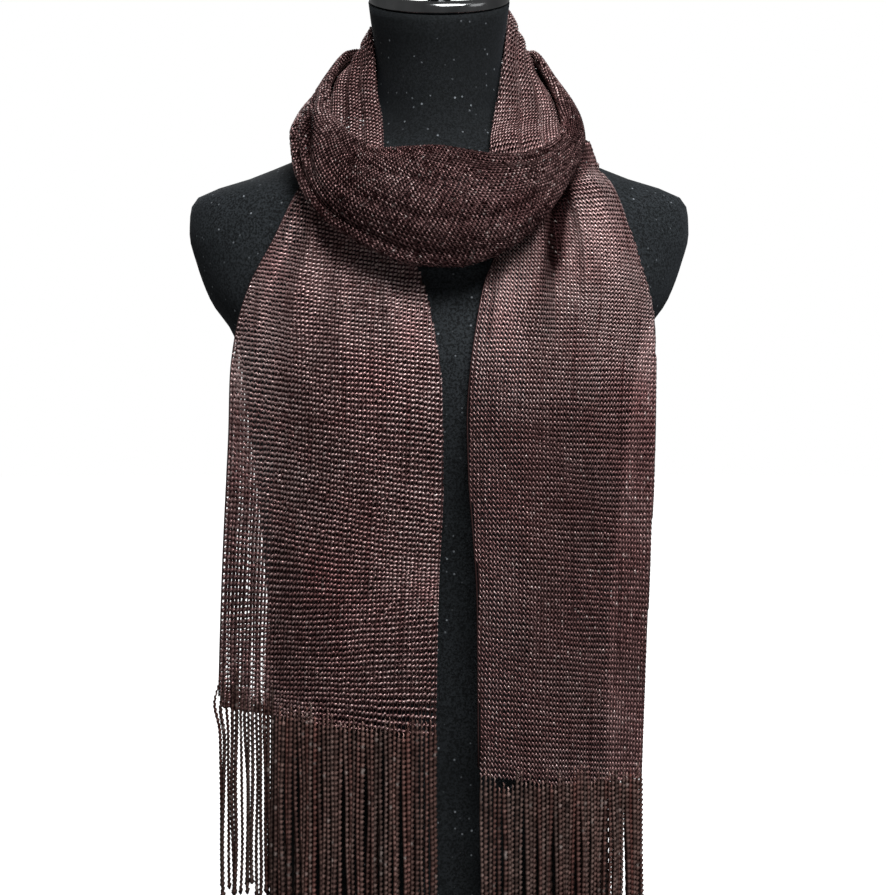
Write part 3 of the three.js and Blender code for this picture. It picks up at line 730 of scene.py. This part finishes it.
def chrome_material():
    """Dark polished metal with faint smudges."""
    material, nodes, links, shader = node_material("chrome")
    smudge = object_noise(nodes, links, 60, 4).outputs["Fac"]
    tone = ramp(nodes, [(0.3, (0.16, 0.165, 0.17)), (0.7, (0.26, 0.265, 0.27))])
    links.new(smudge, tone.inputs["Fac"])
    links.new(tone.outputs["Color"], shader.inputs["Base Color"])
    links.new(map_range(nodes, links, smudge, 0.3, 0.7, 0.06, 0.18), shader.inputs["Roughness"])
    set_inputs(shader, {"Metallic": 1})
    return material


knit = yarn_material("knit", (0.017, 0.004, 0.0045), (0.305, 0.188, 0.184), (0.595, 0.475, 0.46),
                     (1.0, 0.5, 0.53), (0.72, 0.63, 0.6))
cord_yarn = yarn_material("fringe", (0.006, 0.0035, 0.0035), (0.18, 0.125, 0.11), (0.48, 0.335, 0.295),
                          (1.0, 0.55, 0.52), (0.7, 0.6, 0.56))
flock = flock_material()
chrome = chrome_material()


def place_piece(piece, slot, *nodes):
    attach(piece, BODY)
    if nodes:
        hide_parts(*nodes)
    return piece


# The form
FORM_SIDES = 128
FORM_LEVELS = 110


def form_piece():
    low, high = FORM_ROWS[0][0], FORM_ROWS[-1][0]
    z = np.linspace(low, high, FORM_LEVELS)[:, None]
    half, middle, deep, power, lean = form_section(z)
    angle = np.linspace(0, 2 * math.pi, FORM_SIDES, endpoint=False)[None, :]

    def shape(value):
        return np.sign(value) * np.abs(value) ** (2 / power)

    y = deep * shape(np.sin(angle))
    points = np.stack([half * shape(np.cos(angle)), middle + y * np.cos(lean), z + y * np.sin(lean)], axis=-1)
    index = np.arange(FORM_LEVELS * FORM_SIDES).reshape(FORM_LEVELS, FORM_SIDES)
    faces = ring_faces(index) + [index[0][::-1].tolist(), index[-1].tolist()]
    return smooth_mesh("form", points.reshape(-1, 3), faces, flock)


place_piece(form_piece(), "flock", "dress_form")

# The cap and its knob: turned profiles that lean with the neck
TURNED_SIDES = 96
CAP_PROFILE = [
    (0, 0), (49.5, 0), (51.2, 0.5), (52, 1.6), (52, 5.4), (51.6, 6.8), (50.4, 8), (48.6, 8.8), (46, 9),
    (42, 8.6), (39.5, 8), (38.2, 7), (37.4, 6.2), (36, 6), (20, 6.1), (0, 6.2),
]
KNOB_PROFILE = [
    (0, 0), (8.5, 0), (8.5, 5), (9, 6.4), (10.2, 7.8), (11.8, 9.4), (12.8, 12), (13, 14.5), (12.4, 17.5),
    (11, 20.4), (8.8, 22.8), (6, 24.3), (3, 24.9), (0, 25),
]


def turned_piece(name, profile, lift):
    top = FORM_ROWS[-1]
    lean = math.radians(top[5])
    rings = np.array([p for p in profile if p[0] > 0], float)
    angle = np.linspace(0, 2 * math.pi, TURNED_SIDES, endpoint=False)
    x, y = rings[:, :1] * np.cos(angle), rings[:, :1] * np.sin(angle)
    z = np.repeat(rings[:, 1:], TURNED_SIDES, axis=1) + lift
    points = np.stack([x, y, z], axis=-1).reshape(-1, 3).tolist()
    index = np.arange(len(points)).reshape(len(rings), TURNED_SIDES)
    faces = ring_faces(index)
    for ring, height, order in ((index[0], profile[0][1], -1), (index[-1], profile[-1][1], 1)):
        points.append([0, 0, height + lift])
        centre = len(points) - 1
        for k in range(TURNED_SIDES):
            faces.append([int(ring[k]), int(ring[(k + 1) % TURNED_SIDES]), centre][::order])
    points = np.array(points)
    y, z = points[:, 1].copy(), points[:, 2].copy()
    points[:, 1] = (top[3] - top[2]) / 2 + y * math.cos(lean) - z * math.sin(lean)
    points[:, 2] = top[0] + y * math.sin(lean) + z * math.cos(lean)
    return smooth_mesh(name, points, faces, chrome)


place_piece(turned_piece("cap", CAP_PROFILE, SEAM), "chrome", "neck_cap")
place_piece(turned_piece("knob", KNOB_PROFILE, CAP_HEIGHT - 3 + 2 * SEAM), "chrome", "cap_knob")


def near_spot(points, x, z, wide, tall):
    """1 at a place of the cloth, less away from it."""
    return np.exp(-(((points[:, 0] - x) / wide) ** 2) - (((points[:, 2] - z) / tall) ** 2))


# Where the yarn is redder, and where light and shade are painted on it: x, z, spread in x and z, warmth, gain
# in tone (painted shade in the folds and hollows, painted highlights on the ridges)
TINT_AND_PAINTED_LIGHT_SPOTS = [
    (-119, 557, 14, 26, 0.3, 0.05), (-20, 506, 9, 24, 0.25, 0.1), (-3, 633, 30, 5, 0.6, 0.0),
    (96, 651, 9, 12, 0.6, 0.1), (146, 480, 7, 90, 0.05, -0.1), (50, 518, 15, 40, 0.12, 0.75),
    (122, 560, 25, 44, 0.1, 0.1), (60, 590, 16, 16, 0.4, 0.0), (-75, 530, 30, 40, 0.1, 0.1),
    (-45, 470, 20, 25, 0.25, 0.1), (130, 420, 12, 60, 0.1, 0.0), (-85, 330, 16, 20, 0.3, 0.0),
    (-128, 545, 18, 50, 0.1, 0.6), (-20, 500, 18, 45, 0.05, 0.12), (-143, 320, 14, 130, -0.1, -0.38),
    (106, 632, 7, 12, 0.0, -0.9), (98, 617, 7, 12, 0.0, -0.9), (90, 600, 7, 14, 0.0, -1.4),
    (85, 580, 7, 18, 0.0, -1.5), (82, 558, 6, 18, 0.0, -1.2), (73, 548, 10, 34, 0.0, -0.5),
    (62, 505, 12, 16, 0.0, -0.25), (-60, 560, 40, 40, 0.0, 0.08), (-60, 300, 20, 40, 0.2, 0.05),
    (95, 300, 22, 30, 0.15, -0.05),
]


def tails_tint_and_painted_light(points):
    x, z = points[:, 0], points[:, 2]
    warmth = 0.12 + 0.12 * wander(x, z, 17, 31)
    # Painted light: the tails are lighter above the bust, where the cloth faces up to the lamps
    painted_light_from = np.where(x < 10, 435 + 10 * np.sin(x / 26), 452 + 8 * np.sin(x / 17))
    gain = 0.86 + 0.33 * smooth_step((z - painted_light_from) / 24) + 0.12 * wander(x, z, 24, 32)
    # Painted shade low on the tails, on the right tail below the bust and at its outer lower edge
    low = smooth_step((370 - z) / 60)
    gain = gain - (x > 10) * (0.27 * smooth_step((470 - z) / 50) - 0.13 * low) - 0.08 * low * (x < 10)
    gain = gain - 0.22 * smooth_step((x - 118) / 14) * low
    # The spots add warmth, and painted shade and painted highlights
    for *spot, warm, more in TINT_AND_PAINTED_LIGHT_SPOTS:
        near = near_spot(points, *spot)
        warmth, gain = warmth + warm * near, gain + more * near
    return np.clip(warmth, 0, 1), np.maximum(gain, 0.03)


# Painted shade in the loop's creases and hollows and painted highlights on its edges: x, z, spread in x and
# z, gain in tone
LOOP_PAINTED_LIGHT_SPOTS = [
    (-93, 650, 4, 14, -0.5), (-86, 584, 9, 12, -0.2), (-66, 563, 12, 9, -0.25), (-36, 546, 16, 8, -0.25),
    (-5, 540, 18, 8, -0.2), (100, 662, 12, 30, -0.42), (84, 645, 9, 5, 0.25), (-84, 622, 16, 24, 0.08),
    (-3, 633, 30, 4, -0.1), (30, 600, 16, 9, 0.1), (-40, 605, 18, 10, 0.08), (-98, 655, 10, 26, -0.15),
]


def loop_tint_and_painted_light(points):
    """The front of the loop is painted darker than the tails, and darker still towards its top: painted
    shade, with the spots' painted shade and highlights.
    """
    warmth, _ = tails_tint_and_painted_light(points)
    x, y, z = points.T
    front = smooth_step((-20 - y) / 50)
    gain = 0.51 - 0.12 * front - 0.08 * smooth_step((z - 605) / 25) * front + 0.13 * wander(x, z, 15, 33)
    for *spot, more in LOOP_PAINTED_LIGHT_SPOTS:
        gain = gain + more * near_spot(points, *spot)
    return 0.45 * warmth, np.maximum(gain, 0.05)


def ribbon_tint_and_painted_light(points):
    warmth, _ = tails_tint_and_painted_light(points)
    # Painted light: the ribbon's right-hand side is lighter
    return warmth, 0.79 + 0.17 * (points[:, 0] > 0) + 0.09 * wander(points[:, 0], points[:, 2], 12, 34)


def lining_colour(points):
    """The second layer of the ribbon lies in the first one's shade."""
    warmth, _ = tails_tint_and_painted_light(points)
    return warmth, np.where(points[:, 1] < -40, 0.1, 0.3)


# The tails
TAILS = {
    "left": {
        "rows": TAIL_LEFT_ROWS, "folds": FOLDS_LEFT, "top_y": (-63, -52), "width": 150,
        "fold": 0, "back_from": 0.78,
        "fine": [
            ([(640, 0.3), (560, 0.24), (470, 0.2)], 2.5, 0.07, 0.03),
            ([(640, 0.52), (540, 0.47), (430, 0.44)], 2.2, 0.03, 0.09),
            ([(640, 0.8), (560, 0.74), (440, 0.7)], 2.5, 0.08, 0.03),
            ([(620, 0.93), (520, 0.9), (400, 0.88)], 1.8, 0.03, 0.05),
        ],
    },
    "right": {
        "rows": TAIL_RIGHT_ROWS, "folds": FOLDS_RIGHT, "top_y": (-62, -18), "width": 128,
        "fold": 1, "back_from": 0.3,
        "fine": [
            ([(640, 0.34), (590, 0.33), (540, 0.33), (480, 0.36)], 7, 0.16, 0.05),
            ([(640, 0.4), (590, 0.44), (540, 0.47), (470, 0.5)], -9, 0.05, 0.07),
            ([(640, 0.62), (580, 0.64), (500, 0.62)], 4, 0.04, 0.12),
            ([(600, 0.12), (520, 0.1), (430, 0.1)], 2, 0.04, 0.06),
        ],
    },
}
TAIL_LOOKS = {
    "left": {
        "wale": 2.88, "slant": 0.25, "jitter": 0.085,
        "tilt": lambda s: (-0.05 - 0.08 * smooth_step(s / 0.4) * smooth_step((0.9 - s) / 0.3)
                           + 0.12 * smooth_step((s - 0.68) / 0.15) * smooth_step((1.02 - s) / 0.08)),
    },
    "right": {
        "wale": 2.68, "slant": -0.6,
        "tilt": lambda s: -0.22 + 0.16 * smooth_step(s / 0.45) - 0.07 * smooth_step((s - 0.5) / 0.3),
    },
}


def beside_form(points):
    """0 where the form backs the cloth, 1 beside it."""
    return smooth_step((np.abs(points[:, 0]) - form_half(points[:, 2]) + 8) / 8)


def open_beside(points):
    """Low on the left the light shows through just beside the form."""
    x, z = points[:, 0], points[:, 2]
    near = np.exp(-(((-x - form_half(z) - 6) / 9) ** 2))
    return near * smooth_step((480 - z) / 140) * (x < 0)


# x of the slits
SLITS_LEFT = (-151, -142.4, -133, -126.5)


def slits(points):
    """1 on the lengthwise slits that open towards the fringe, low beside the form."""
    x, z = points[:, 0], points[:, 2]
    near = sum(np.exp(-(((x - at) / 1.5) ** 2)) for at in SLITS_LEFT)
    return np.minimum(near, 1) * smooth_step((345 - z) / 90)


def tail_fat(points):
    base = 1 - 0.13 * (points[:, 0] > 0)
    return base + beside_form(points) * (0.7 - 0.1 * open_beside(points) - 0.75 * slits(points))


def tail_chain(points, wales):
    slit = (np.sin(wales * 2.4) > 0.6) * open_beside(points)
    return 0.55 + beside_form(points) * (0.82 - 0.85 * slit) - (0.95 - 0.45 * slit) * slits(points)


def tail_merge(points):
    """Towards the tails' outer edges the rows run on without a break between stitches."""
    x, z = points[:, 0], points[:, 2]
    left = smooth_step((-92 - x) / 26) * (x < 0)
    right = smooth_step((x - 92) / 26) * (x > 0)
    return np.clip(left + right, 0, 1) * smooth_step((z - 330) / 120)


def no_merge(points):
    return np.zeros(len(points))


def ribbon_fat(points):
    return 0.96 + 0.54 * smooth_step((np.abs(points[:, 0]) - 68) / 10)


def loop_fat(points):
    return ribbon_fat(points) - 0.26 * smooth_step((-40 - points[:, 1]) / 25)


def ribbon_chain(points, wales):
    high = smooth_step((points[:, 2] - 698) / 12)
    return 0.42 + np.maximum(0.68 * smooth_step((np.abs(points[:, 0]) - 76) / 12), 0.45 * high)


def back_colour(points):
    """The back layers lie in the front ones' shade."""
    warmth, gain = tails_tint_and_painted_light(points)
    return warmth, 0.5 * gain


# How a net is made. stride is how many rows a chain's ring spans, and sides those of a stitch's tube.
# colour gives each place its warmth and a gain in tone that carries painted light and shade
NET = {
    "stitch": STITCH_FINE, "stride": 2, "sides": 4, "out": 0, "seed": 1, "jitter": 0.05, "shade": 0.15,
    "drift": lambda v: 0 * v, "colour": tails_tint_and_painted_light, "fat": tail_fat, "chain": tail_chain,
    "merge": tail_merge,
}
BACK_NET = {**NET, "stitch": STITCH_PLAIN, "stride": 3, "sides": 3, "seed": 5, "colour": back_colour}


def tail_course(share):
    """The rows are pulled closer together over the chest."""
    return 3.1 + 0.6 * smooth_step((share - 0.3) / 0.15)


FRINGE_LENGTH = 143
CORD_PITCH = 3.2
CORD_RADIUS = 1.4
CORD_LEVEL = 1.8
CORD_TIP = (1.3, 1.4, 0.5)
CORD_PAINTED_GLINTS = 0.03
# Gaps that open between the cords: x of each, how far they open and how wide
FRINGE_GAPS = {
    "left": [(-151, 1.4, 3), (-142.4, 2.6, 5), (-133, 1.5, 3), (-126.5, 0.8, 2.4),
             (-109, 1.4, 4), (-102, 2.6, 5), (-85, 1.6, 4), (-68, 2, 4), (-52, 2, 4), (-40, 1.2, 3),
             (-26, 1.8, 4), (-12, 1.2, 3)],
    "right": [(120, 2.2, 4), (44, 1.4, 3), (60, 1.8, 4), (70, 1.2, 3), (82, 1.6, 4), (98, 1.8, 4),
              (108, 1.2, 3), (134, 1.4, 3)],
}
# On the left, the cords beside the form start higher and are shorter, and the outermost bulge outward
BESIDE_FROM = -116
LOOSE_FROM = -147
LOOSE_BULGE = 5
# How the cords' nodes sit: sideways, and their sizes at a knot and between knots
CORD_ZIGZAG = 0.36
CORD_KNOTS = (1.12, 0.78)
BESIDE_KNOTS = (1.03, 0.95)


def fringe_drift(side, x, share, down):
    moved = 0 * share
    for at, opening, wide in FRINGE_GAPS[side]:
        off = (x - at) / wide
        moved = moved + opening * 1.6 * off * math.exp(-off * off) * smooth_step(share * 2.5)
    if side == "left" and x < LOOSE_FROM:
        moved = moved - LOOSE_BULGE * (LOOSE_FROM - x) / 11 * np.exp(-(((down - 20) / 13) ** 2))
    return moved


def cords(name, side, hem, layer, sides, level):
    """Chain-stitch cords that hang from the hem."""
    parts = MeshParts()
    reach = np.append(0, np.cumsum(np.linalg.norm(np.diff(hem, axis=0), axis=1)))
    count = int(reach[-1] / CORD_PITCH)
    roots = (np.arange(count) + 0.5) / count * reach[-1]
    roots = np.stack([np.interp(roots, reach, hem[:, k]) for k in range(3)], axis=-1)
    for root in roots:
        beside = side == "left" and root[0] < BESIDE_FROM
        above = random.uniform(1, 16) if layer == "front" else 1.5
        if beside and layer == "front":
            above = random.uniform(16, 24) if root[0] < LOOSE_FROM else random.uniform(8, 30)
        own = FRINGE_LENGTH + above + random.uniform(-7, 2) - random.uniform(4, 16) * beside
        levels = int(own / level)
        down = np.linspace(0, own, levels)
        share = np.clip((down - above) / FRINGE_LENGTH, 0, 1)
        phase, turn = random.uniform(0, 6.3, 2)
        sway = share * (1.3 * np.sin(phase + 3.2 * share) + 0.7 * np.sin(turn + 8 * share))
        odd = np.arange(levels) % 2 == 1
        zigzag = CORD_ZIGZAG * np.where(odd, 1, -1)
        x = root[0] + sway + fringe_drift(side, root[0], share, down) + zigzag
        step_out = (0.9 if layer == "front" else -0.3) * smooth_step(down / 6)
        y = root[1] - step_out + share * 1.0 * np.sin(turn + 4 * share) + 0.3 * zigzag
        z = root[2] + above - down
        knots = np.where(odd, *(BESIDE_KNOTS if beside else CORD_KNOTS))
        radius = CORD_RADIUS * (0.95 if beside else 1) * random.uniform(0.8, 1.12) * knots
        radius[-3:] *= CORD_TIP
        radius = radius * (0.4 + 0.6 * smooth_step(down / (above + 5)))
        angle = np.arange(sides) / sides * 2 * math.pi
        rings = np.stack([x[:, None] + radius[:, None] * np.cos(angle),
                          y[:, None] + radius[:, None] * np.sin(angle),
                          np.repeat(z[:, None], sides, axis=1)], axis=-1)
        rings[..., 2] += np.where(odd, 0.4, -0.4)[:, None] * np.cos(angle)
        # Painted shade between the knots and on the back layer's cords; the cords beside the form are darker
        tone = np.where(odd, 0.9, 0.12) * random.normal(1, 0.2, levels) * random.uniform(0.7, 1.1)
        tone = tone * (0.45 if layer == "back" else 0.6 if beside else 1)
        # Painted glints on a few knots
        painted_glint = PAINTED_GLINT_STRENGTH * (random.random(levels) < CORD_PAINTED_GLINTS) * random.random(levels)
        warmth = np.full(levels, max(0.0, random.normal(0.15, 0.25)))
        parts.tube(rings, np.stack([tone, painted_glint, warmth], axis=1))
    return parts.build(name, cord_yarn)


for side, tail in TAILS.items():
    for layer in ("front", "back"):
        front = layer == "front"
        across, level = tail_section(tail, front)
        grid = tail_grid(tail, across, level)
        normal = grid_normals(grid, (0, -1, 0) if front else (0, 1, 0))
        look = {**(NET if front else BACK_NET), **TAIL_LOOKS[side], "course": tail_course}
        parts, flat, area = net(Surface(grid, normal, len(across) // 2), look)
        selvedge(parts, grid, normal, (-1, -3), 0.7, 0.1)
        piece = place_piece(parts.build(f"tail_{side}_{layer}", knit), "knit", f"tail_{side}")
        fringe = cords(f"fringe_{side}_{layer}", side, grid[-1], layer, 4 if front else 3,
                       CORD_LEVEL if front else 2 * CORD_LEVEL)
        place_piece(fringe, "fringe", f"fringe_{side}")

# The ribbon round the neck: its creases, and its knit, which runs on the bias over the front
LOOP_CREASES = [
    ([(0.3, 0.92, 0), (0.42, 0.92, 2), (0.53, 0.9, 3.5), (0.64, 0.88, 5), (0.7, 0.86, 6),
      (0.76, 0.78, 6), (0.82, 0.6, 5), (0.88, 0.42, 4), (0.94, 0.34, 0)], 0.02, 0.12),
    ([(0.12, 0.22, 0), (0.2, 0.2, 3), (0.3, 0.16, 5), (0.38, 0.13, 4), (0.48, 0.1, 2), (0.62, 0.08, 3),
      (0.72, 0.1, 0)], 0.03, 0.08),
    ([(0.34, 0.5, 0), (0.46, 0.4, 2), (0.6, 0.32, 3), (0.7, 0.2, 2), (0.78, 0.14, 0)], 0.06, 0.04),
    ([(0.16, 0.6, 0), (0.28, 0.66, 2.5), (0.42, 0.68, 2), (0.6, 0.62, 2), (0.72, 0.5, 0)], 0.04, 0.07),
]
STRIP_CREASES = [
    ([(0, 0.3, 2.5), (0.5, 0.34, 3), (1, 0.4, 2.5)], 0.03, 0.1),
    ([(0, 0.62, 3), (0.5, 0.66, 3), (1, 0.7, 2.5)], 0.03, 0.1),
]
RIBBON_LOOKS = {
    "strip_left": ("neck_strip_left", STRIP_CREASES, 3.3),
    "nape_under": ("nape_under", STRIP_CREASES, 3.2),
    "loop": ("front_loop", LOOP_CREASES, 3.4),
    "nape_over": ("nape_over", STRIP_CREASES, 3.2),
    "strip_right": ("neck_strip_right", STRIP_CREASES, 3.4),
}
# The coarser layer behind the ribbon's first one
LINING = {
    "stitch": STITCH_PLAIN, "sides": 3, "out": -1.9, "seed": 12, "wale": 4.6,
    "fat": lambda points: np.full(len(points), 1.4),
    "chain": lambda points, wales: np.full(len(wales), 0.8),
}
STRIP_LINING_CHAIN = 1.5
LINING_COURSE = 1.35

for name, (start, end) in ribbon_ends().items():
    node, creases, course = RIBBON_LOOKS[name]
    grid = ribbon_grid(start, end, creases)
    normal = grid_normals(grid, None)
    middle = grid[:, RIBBON_COLUMNS // 2] - (grid[:, 0] + grid[:, -1]) / 2
    if np.sum(normal[:, RIBBON_COLUMNS // 2] * middle) < 0:
        normal = -normal
    surface = Surface(grid, normal, RIBBON_COLUMNS // 2)
    look = {**NET, "wale": 2.5, "slant": -0.6, "colour": ribbon_tint_and_painted_light, "course": lambda s, c=course: c,
            "tilt": lambda s: 0 * s, "fat": ribbon_fat, "chain": ribbon_chain, "merge": no_merge,
            "seed": 11}
    if name == "loop":
        half = surface.v[-1] / 2
        look["colour"], look["fat"], look["shade"] = loop_tint_and_painted_light, loop_fat, 0.5
        look["tilt"] = lambda s: 0.36 * smooth_step(s / 0.25) * smooth_step((1 - s) / 0.2)
        look["drift"] = lambda v: -0.22 * np.clip(v - half, -120, 120)
    parts, flat, area = net(surface, look)
    below = {**look, **LINING, "colour": lining_colour, "course": lambda s, c=course: c * LINING_COURSE}
    if name.startswith("strip"):
        below["chain"] = lambda points, wales: np.full(len(wales), STRIP_LINING_CHAIN)
    lining, _, _ = net(surface, below)
    parts.join(lining)
    flat, area = (2 * flat[0], flat[1]), 2 * area
    selvedge(parts, grid, normal, (0, 2, -1, -3), 1.0, 0.2)
    piece = place_piece(parts.build(f"{name}_knit", knit), "knit", node)

# The stage: a pale floor, a white surround that only the camera sees, and soft lights
SURROUND_RADIUS = 9


def emission_material(name, strength):
    material, nodes, links, shader = node_material(name)
    nodes.remove(shader)
    glow = add_node(nodes, "ShaderNodeEmission")
    set_inputs(glow, {"Strength": strength})
    links.new(glow.outputs[0], nodes["Material Output"].inputs["Surface"])
    return material


def stage():
    material, _, _, shader = node_material("floor")
    set_inputs(shader, {"Base Color": (0.9, 0.9, 0.9, 1), "Roughness": 0.9,
                        "Emission Color": (1, 1, 1, 1), "Emission Strength": 0.8})
    bpy.ops.mesh.primitive_circle_add(vertices=96, radius=SURROUND_RADIUS - 0.1, fill_type="NGON")
    floor = bpy.context.object
    floor.name = "floor"
    floor.data.materials.append(material)
    bpy.ops.mesh.primitive_uv_sphere_add(segments=48, ring_count=24, radius=SURROUND_RADIUS)
    surround = bpy.context.object
    surround.name = "surround"
    surround.data.materials.append(emission_material("surround", 1.0))
    for unlit in (floor, surround):
        unlit.visible_diffuse = False
        unlit.visible_glossy = False
        unlit.visible_transmission = False
    surround.visible_shadow = False


def area_light(name, place, target, size, power):
    light = bpy.data.lights.new(name, "AREA")
    light.shape = "RECTANGLE"
    light.size, light.size_y = size
    light.energy = power
    made = add_object(name, light)
    made.location = place
    aim(made, Vector(target) - Vector(place))


def sun_light(name, direction, angle, strength):
    light = bpy.data.lights.new(name, "SUN")
    light.angle = math.radians(angle)
    light.energy = strength
    aim(add_object(name, light), direction)


stage()
world = bpy.data.worlds.new("world")
world.use_nodes = True
set_inputs(world.node_tree.nodes["Background"], {"Color": (1, 1, 1, 1), "Strength": 0.16})
bpy.context.scene.world = world
bpy.context.scene.view_settings.view_transform = "Standard"
sun_light("key", (-0.2, 0.75, -1.0), 30, 1.5)
area_light("top", (0.3, -0.85, 1.3), (0, -0.08, 0.55), (0.7, 0.5), 13)
area_light("side", (1.1, -0.6, 0.9), (0.05, 0, 0.5), (0.5, 0.8), 1.2)
area_light("rear", (-0.4, 1.5, 1.3), (0, 0, 0.5), (0.9, 0.9), 7)
